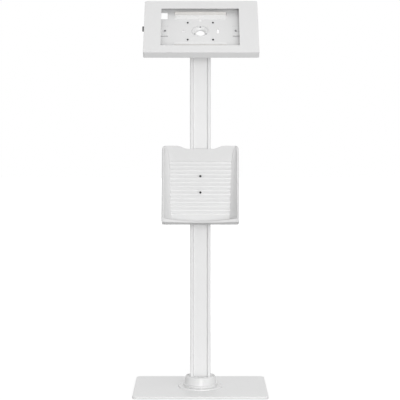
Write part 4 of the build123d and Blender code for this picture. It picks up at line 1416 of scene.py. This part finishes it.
@dataclass
class TrayRims(TraySides):
    """Rounded beads along the two side rims of the tray.

    Attributes:
        inner: Distance of a bead's inner edge from the middle.
        outer: Distance of its outer edge.
        drop: How far the rim has rounded down at the outer edge.
        height: Height of the bead over the rim.
        root: Depth of the bead's underside in the rim.
        fade: Length over which an end runs out.
        least: Share of its height that a bead has left at its ends.
        crown: Place across and height of each point, as shares.
    """

    name: ClassVar[str] = "tray_rims"
    start: float = 0.003
    end: float = 0.230
    stations: int = 36
    smooth_angle: float = 50
    inner: float = 0.1071
    outer: float = 0.1134
    drop: float = 0.0005
    height: float = 0.0022
    root: float = 0.0008
    fade: float = 0.014
    least: float = 0.05
    crown: Pairs = (
        (0.0, 0.0), (0.07, 0.5), (0.2, 0.88), (0.36, 1.0), (0.56, 0.84), (0.76, 0.5), (0.9, 0.2),
        (1.0, 0.0),
    )

    def section(self, up: float, side: Side) -> list[Vector]:
        """Section of a bead at one place up the panel.

        Args:
            up: Place up the panel.
            side: Side of the tray.

        Returns:
            Closed loop of points in the tray plane.
        """
        depth = TRAY_FORM.depth(up)
        inside = min(up - self.start, self.end - up)
        height = self.height * swell(inside / self.fade, self.least)
        points = [
            (
                self.inner + (self.outer - self.inner) * across,
                depth + rise * height - self.drop * across**4,
            )
            for across, rise in self.crown
        ]
        for x in (self.outer - self.drop, self.inner + self.drop):
            points.append((x, depth - self.drop - self.root))
        return [Vector((side.value * x, up, out)) for x, out in points]


@dataclass
class CollarInfills(SubAssembly):
    """Moulded cups that close the collar's slot on both sides of the column.

    Attributes:
        inner: Distance of the cups' inner side from the middle.
        outer: Distance of their outer side.
        half_depth: Half of their depth from front to back.
        corner: Radius of the outer corners.
        small_corner: Radius of the corners at the column.
        top: Height of the rim.
        floor: Height of the sunk face.
        bottom: Height of the underside.
        rim: Inset of each outline of the rim, and its height over the rim's top.
        well: Inset of each outline inside the rim, and its height over the sunk face.
    """

    inner: float = 0.0310
    outer: float = 0.0419
    half_depth: float = 0.0222
    corner: float = 0.0086
    small_corner: float = 0.0005
    top: float = 0.0413
    floor: float = 0.0386
    bottom: float = 0.0369
    rim: Pairs = ((0.0, -0.0003), (0.0003, 0.0), (0.0008, 0.0), (0.0011, -0.0003))
    well: Pairs = ((0.0012, 0.0004), (0.0016, 0.0))

    def outline(self, inset: float, height: float, side: Side) -> list[Vector]:
        """Outline of a cup.

        Args:
            inset: Distance inwards from the outer outline.
            height: Height of the outline.
            side: Side of the column.

        Returns:
            Closed loop of points.
        """
        far, near = self.outer - inset, self.inner + inset
        half, radius, small = self.half_depth - inset, self.corner - inset, self.small_corner
        points = arc((far - radius, half - radius), radius, 0, 90, 7)
        points += arc((near + small, half - small), small, 90, 180, 2)
        points += arc((near + small, small - half), small, 180, 270, 2)
        points += arc((far - radius, radius - half), radius, 270, 360, 7)
        return [Vector((side.value * x, y, height)) for x, y in points]

    def make(self) -> None:
        """Makes both cups as one piece."""
        steps = [(0.0, self.bottom)]
        for level, outlines in ((self.top, self.rim), (self.floor, self.well)):
            steps += [(inset, level + over) for inset, over in outlines]
        cups = [skin([self.outline(*step, side) for step in steps]) for side in Side]
        mesh = finished_mesh("collar_infills", join(cups))
        self.shop.keep("collar_infills", mesh, Body.STAND, Slot.COLLAR_PLASTIC)


# Enclosure


@dataclass
class HubTrim(SubAssembly):
    """Pressed rim round the opening of the pan that shows the hub.

    Attributes:
        radius: Radius of the opening.
        width: Width of the rim.
        height: Height of the rim over the pan.
        crown: Place across the rim and height of each point, as shares.
        segments: Steps round the rim.
    """

    radius: float = 0.0231
    width: float = 0.0026
    height: float = 0.0014
    crown: Pairs = ((0.0, 0.0), (0.0, 0.7), (0.1, 0.92), (0.3, 1.0), (0.55, 0.72), (1.0, 0.0))
    segments: int = 96

    def make(self) -> None:
        """Makes the rim."""
        section = [(self.radius + out * self.width, up * self.height) for out, up in self.crown]
        turns = [2 * math.pi * step / self.segments for step in range(self.segments)]
        loops = [[(far * math.cos(a), far * math.sin(a), up) for far, up in section] for a in turns]
        mesh = finished_mesh("hub_opening_rim", skin(loops, closed=True))
        self.shop.keep("hub_opening_rim", mesh, Body.ENCLOSURE, Slot.STEEL_WHITE, HEAD)


@dataclass
class SoftParts(SubAssembly):
    """Foam strips on the rails, rubber grips on the clamps, and dark strips on the clamps that paint
    the shadow of their edges.

    Attributes:
        foam_edge: Radius of the strips' edges.
        flange_half: Half of the thickness of a rail's flange.
        lining_foot: Height over the pan where the lining of a flange starts.
        grip_edge: Radius of the grips' edges.
        grip_inset: Distance of a ridge's ends from those of its grip.
        grip_ridge: Height of the ridges on the grips.
        grip_pitch: Distance between two ridges.
        shadow_strip_width: Width of the dark strip, a painted shadow, along each side of a clamp.
        shadow_strip_height: Height of the strip over the pan.
        shadow_strip_gap: Gap between the strip and the pan.
        shadow_strip_reach: Length of the strip.
    """

    foam_edge: float = 0.0006
    flange_half: float = 0.00075
    lining_foot: float = 0.0016
    grip_edge: float = 0.0003
    grip_inset: float = 0.0005
    grip_ridge: float = 0.0006
    grip_pitch: float = 0.0026
    shadow_strip_width: float = 0.0008
    shadow_strip_height: float = 0.0011
    shadow_strip_gap: float = 0.00005
    shadow_strip_reach: float = 0.022

    def strips(self) -> None:
        """Makes the foam strips, each with a lining down the inner face of its rail's flange."""
        blocks = []
        for box in self.shop.solids("rail_foam"):
            blocks.append(soft_block(box.low, box.high, self.foam_edge, 4))
            low = Vector((box.low.x, box.low.y, self.lining_foot))
            high = Vector((box.high.x, box.high.y, box.low.z + self.foam_edge))
            if box.middle.y > 0:
                high.y = box.middle.y - self.flange_half
            else:
                low.y = box.middle.y + self.flange_half
            blocks.append(soft_block(low, high, self.foam_edge / 2, 3))
        mesh = finished_mesh("support_strips", join(blocks), 60)
        piece = self.shop.keep(
            "support_strips", mesh, Body.ENCLOSURE, Slot.FOAM, HEAD, "rail_foam"
        )

    def grip(self, side: Side, body: Body) -> None:
        """Makes the ribbed grip of one clamp.

        Args:
            side: Side of the clamp.
            body: Body of the clamp.
        """
        shop, name, slot = self.shop, side.name.lower() + "_grip", Slot.RUBBER_BLACK
        node = side.name.lower() + "_clamp_pad"
        box = shop.solids(node)[0]
        low, high, ridge = box.low.copy(), box.high.copy(), self.grip_ridge
        if side is Side.RIGHT:
            face = low.x = low.x + ridge
            outline = arc((0.0, 0.0), ridge, 90, 270, 6)
        else:
            face = high.x = high.x - ridge
            outline = arc((0.0, 0.0), ridge, -90, 90, 6)
        half = (high.z - low.z) / 2 - self.grip_inset
        pattern = skin([[(x, y, z) for x, y in outline] for z in (-half, half)])
        count = int((high.y - low.y - 2 * ridge) / self.grip_pitch)
        values = {
            "Count": count,
            "First": (face, box.middle.y - (count - 1) * self.grip_pitch / 2, box.middle.z),
            "Step": (0.0, self.grip_pitch, 0.0),
            "Finish": shop.materials[slot],
        }
        ridges = shop.repeat(name + "_ridges", pattern, shop.repeaters.along_line, values)
        slab = soft_block(low, high, self.grip_edge, 2)
        slab.from_mesh(ridges)
        bpy.data.meshes.remove(ridges)
        shop.keep(name, finished_mesh(name, slab), body, slot, HEAD, node)

    def shadow_strips(self, side: Side, body: Body, finish: bpy.types.Material) -> None:
        """Makes the thin dark strips along both sides of one clamp, a painted shadow of its edges.

        Args:
            side: Side of the clamp.
            body: Body of the clamp.
            finish: Dark material of the strips, which paints the shadow.
        """
        name = side.name.lower() + "_edging"
        box = self.shop.solids(side.name.lower() + "_clamp")[0]
        front = box.low.x if side is Side.RIGHT else -box.high.x
        near, far = sorted((side.value * front, side.value * (front + self.shadow_strip_reach)))
        half, wide = box.high.y, self.shadow_strip_width
        blocks = [
            soft_block(
                Vector((near, lower, self.shadow_strip_gap)),
                Vector((far, lower + wide, self.shadow_strip_height)),
                wide / 4,
                2,
            )
            for lower in (half, -half - wide)
        ]
        mesh = finished_mesh(name, join(blocks), 60)
        # Kept under the nylon slot, but its dark finish is a painted shadow along the clamp's edges
        self.shop.keep(name, mesh, body, Slot.NYLON, HEAD, finish=finish)

    def make(self) -> None:
        """Makes all soft parts of the enclosure, and the dark strips of painted shadow on the
        clamps.
        """
        self.strips()
        clamps = ((Side.LEFT, Body.CLAMP_LEFT), (Side.RIGHT, Body.CLAMP_RIGHT))
        for clamp in clamps:
            self.grip(*clamp)
        # Dark finish of the strips along the clamps, a painted shadow
        finish = CLAMP_PAINTED_SHADOW.build(self.shop.groups)
        for clamp in clamps:
            self.shadow_strips(*clamp, finish)


# Studio


@dataclass(frozen=True)
class Lamp:
    """Soft square lamp.

    Attributes:
        name: Name of the lamp.
        place: Where it stands.
        aim: Point that it faces.
        size: Edge of the square.
        power: Power in watts.
    """

    name: str
    place: Place
    aim: Place
    size: float
    power: float

    def make(self) -> None:
        """Makes the lamp."""
        data = bpy.data.lights.new(self.name, "AREA")
        data.shape = "SQUARE"
        data.size = self.size
        data.energy = self.power
        item = new_object(self.name, data)
        item.location = self.place
        way = Vector(self.aim) - Vector(self.place)
        item.rotation_euler = way.to_track_quat("-Z", "Y").to_euler()
        item.visible_camera = False


@dataclass
class Studio:
    """Floor, white surroundings, lamps and camera.

    Attributes:
        camera_place: Where the camera stands.
        camera_drop: Angle in degrees by which it looks down.
        lens: Focal length in millimetres.
        sensor: Width of the sensor in millimetres.
        view_end: Distance up to which the camera sees.
        surroundings: Strength of the even light from all round.
        floor_half: Half of the edge of the floor.
        floor_colour: Colour that the floor throws back and that takes the shadow.
        floor_glow: Light that the floor adds for the camera alone, close to the stand.
        glow_start: Distance from the stand where that light starts to grow.
        glow_end: Distance where it reaches full white.
        lamps: Lamps.
    """

    camera_place: Place = (-0.0011, -3.932, 0.850)
    camera_drop: float = 4.0
    lens: float = 117.9
    sensor: float = 36.0
    view_end: float = 100.0
    surroundings: float = 0.62
    floor_half: float = 12.0
    floor_colour: Colour = (0.3, 0.3, 0.3)
    floor_glow: float = 0.78
    glow_start: float = 0.35
    glow_end: float = 1.6
    lamps: tuple[Lamp, ...] = (
        Lamp("front_lamp", (0.5, -4.4, 0.9), (0.0, 0.0, 0.8), 1.8, 68.0),
        Lamp("right_lamp", (2.2, -3.0, 0.9), (0.0, 0.0, 0.4), 1.7, 17.0),
        Lamp("low_lamp", (0.2, -2.6, 0.35), (0.0, 0.0, 0.9), 0.6, 7.0),
        Lamp("top_lamp", (0.0, -0.8, 3.8), (0.0, 0.0, 0.6), 2.4, 5.0),
        Lamp("back_lamp", (0.0, 2.4, 3.2), (0.0, 0.0, 0.8), 2.4, 15.0),
    )

    def camera(self) -> None:
        """Makes the camera at the photograph's viewing angle."""
        data = bpy.data.cameras.new("photo_camera")
        data.lens = self.lens
        data.sensor_width = self.sensor
        data.clip_end = self.view_end
        item = new_object("photo_camera", data)
        item.location = self.camera_place
        item.rotation_euler = (math.radians(90.0 - self.camera_drop), 0.0, 0.0)
        bpy.context.scene.camera = item

    @staticmethod
    def _seen(sheet: NodeSheet) -> bpy.types.NodeSocket:
        """One where the camera, a reflection or a clear surface sees a surface."""
        path = sheet.add("ShaderNodeLightPath").outputs
        both = sheet.math("MAXIMUM", path["Is Camera Ray"], path["Is Glossy Ray"])
        return sheet.math("MAXIMUM", both, path["Is Transmission Ray"])

    def world(self) -> None:
        """Makes the even surroundings, white to the camera."""
        world = bpy.data.worlds.new("white_room")
        bpy.context.scene.world = world
        sheet = NodeSheet.of(world)
        light, white = (
            sheet.add("ShaderNodeBackground", {"Color": (1, 1, 1, 1), "Strength": strength})
            for strength in (self.surroundings, 1.0)
        )
        values = {0: self._seen(sheet), 1: light.outputs[0], 2: white.outputs[0]}
        mix = sheet.add("ShaderNodeMixShader", values)
        sheet.add("ShaderNodeOutputWorld", {"Surface": mix.outputs[0]})

    def floor(self) -> None:
        """Makes the pale floor, which keeps the stand's shadow."""
        work = bmesh.new()
        bmesh.ops.create_grid(work, x_segments=2, y_segments=2, size=self.floor_half)
        mesh = plain_mesh("studio_floor", work)
        material = bpy.data.materials.new("pale_floor")
        sheet = NodeSheet.of(material)
        paint = sheet.add("ShaderNodeBsdfDiffuse", {"Color": (*self.floor_colour, 1)})
        place = sheet.add("ShaderNodeTexCoord").outputs["Object"]
        far = sheet.add("ShaderNodeVectorMath", {0: place}, operation="LENGTH")
        values = {
            "Value": far.outputs["Value"],
            "From Min": self.glow_start,
            "From Max": self.glow_end,
            "To Min": self.floor_glow,
            "To Max": 1.0,
        }
        grow = sheet.add("ShaderNodeMapRange", values).outputs["Result"]
        values = {"Strength": sheet.math("MULTIPLY", self._seen(sheet), grow)}
        glow = sheet.add("ShaderNodeEmission", values)
        both = sheet.add("ShaderNodeAddShader", {0: paint.outputs[0], 1: glow.outputs[0]})
        sheet.add("ShaderNodeOutputMaterial", {"Surface": both.outputs[0]})
        mesh.materials.append(material)
        new_object("studio_floor", mesh)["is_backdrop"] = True

    def make(self) -> None:
        """Makes the whole studio."""
        self.camera()
        self.world()
        self.floor()
        for lamp in self.lamps:
            lamp.make()
        bpy.context.scene.view_settings.view_transform = "Standard"


def dress(shop: Workshop) -> None:
    """Gives every CAD node the material of its slot, or its own finish.

    Args:
        shop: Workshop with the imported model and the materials.
    """
    own: dict[str, bpy.types.Material] = {}
    for row in shop.frame["record"]["subparts"]:
        material = shop.materials[Slot(row["material_slot"])]
        finish = NODE_FINISHES.get(row["node"])
        if finish is not None:
            if finish.name not in own:
                own[finish.name] = finish.build(shop.groups)
            material = own[finish.name]
        for place in shop.frame["nodes"][row["node"]].material_slots:
            place.material = material


def corners(box: tuple[Vector, Vector]) -> list[list[float]]:
    """Two corners as plain lists."""
    return [list(corner) for corner in box]


def main() -> None:
    """Builds the scene: frame, studio, finishes and pieces."""
    logging.basicConfig(level=logging.INFO, format="%(name)s: %(message)s")
    for leftover in list(bpy.data.objects):
        bpy.data.objects.remove(leftover)
    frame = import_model()
    cad_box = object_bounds()
    Studio().make()
    groups = SurfaceGroups()
    materials = {slot: finish.build(groups) for slot, finish in FINISHES.items()}
    shop = Workshop(frame, groups, materials, Repeaters())
    dress(shop)
    for kind in (
        FootPads, PortLiners, TrayRibs, TrayCoves, TrayRims, CollarInfills, HubTrim, SoftParts,
        Fixings,
    ):
        kind(shop).make()
    LOG.info("%d pieces made", len(shop.made))
    {"cad": corners(cad_box), "visual": corners(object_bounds())}


if __name__ == "__main__":
    main()
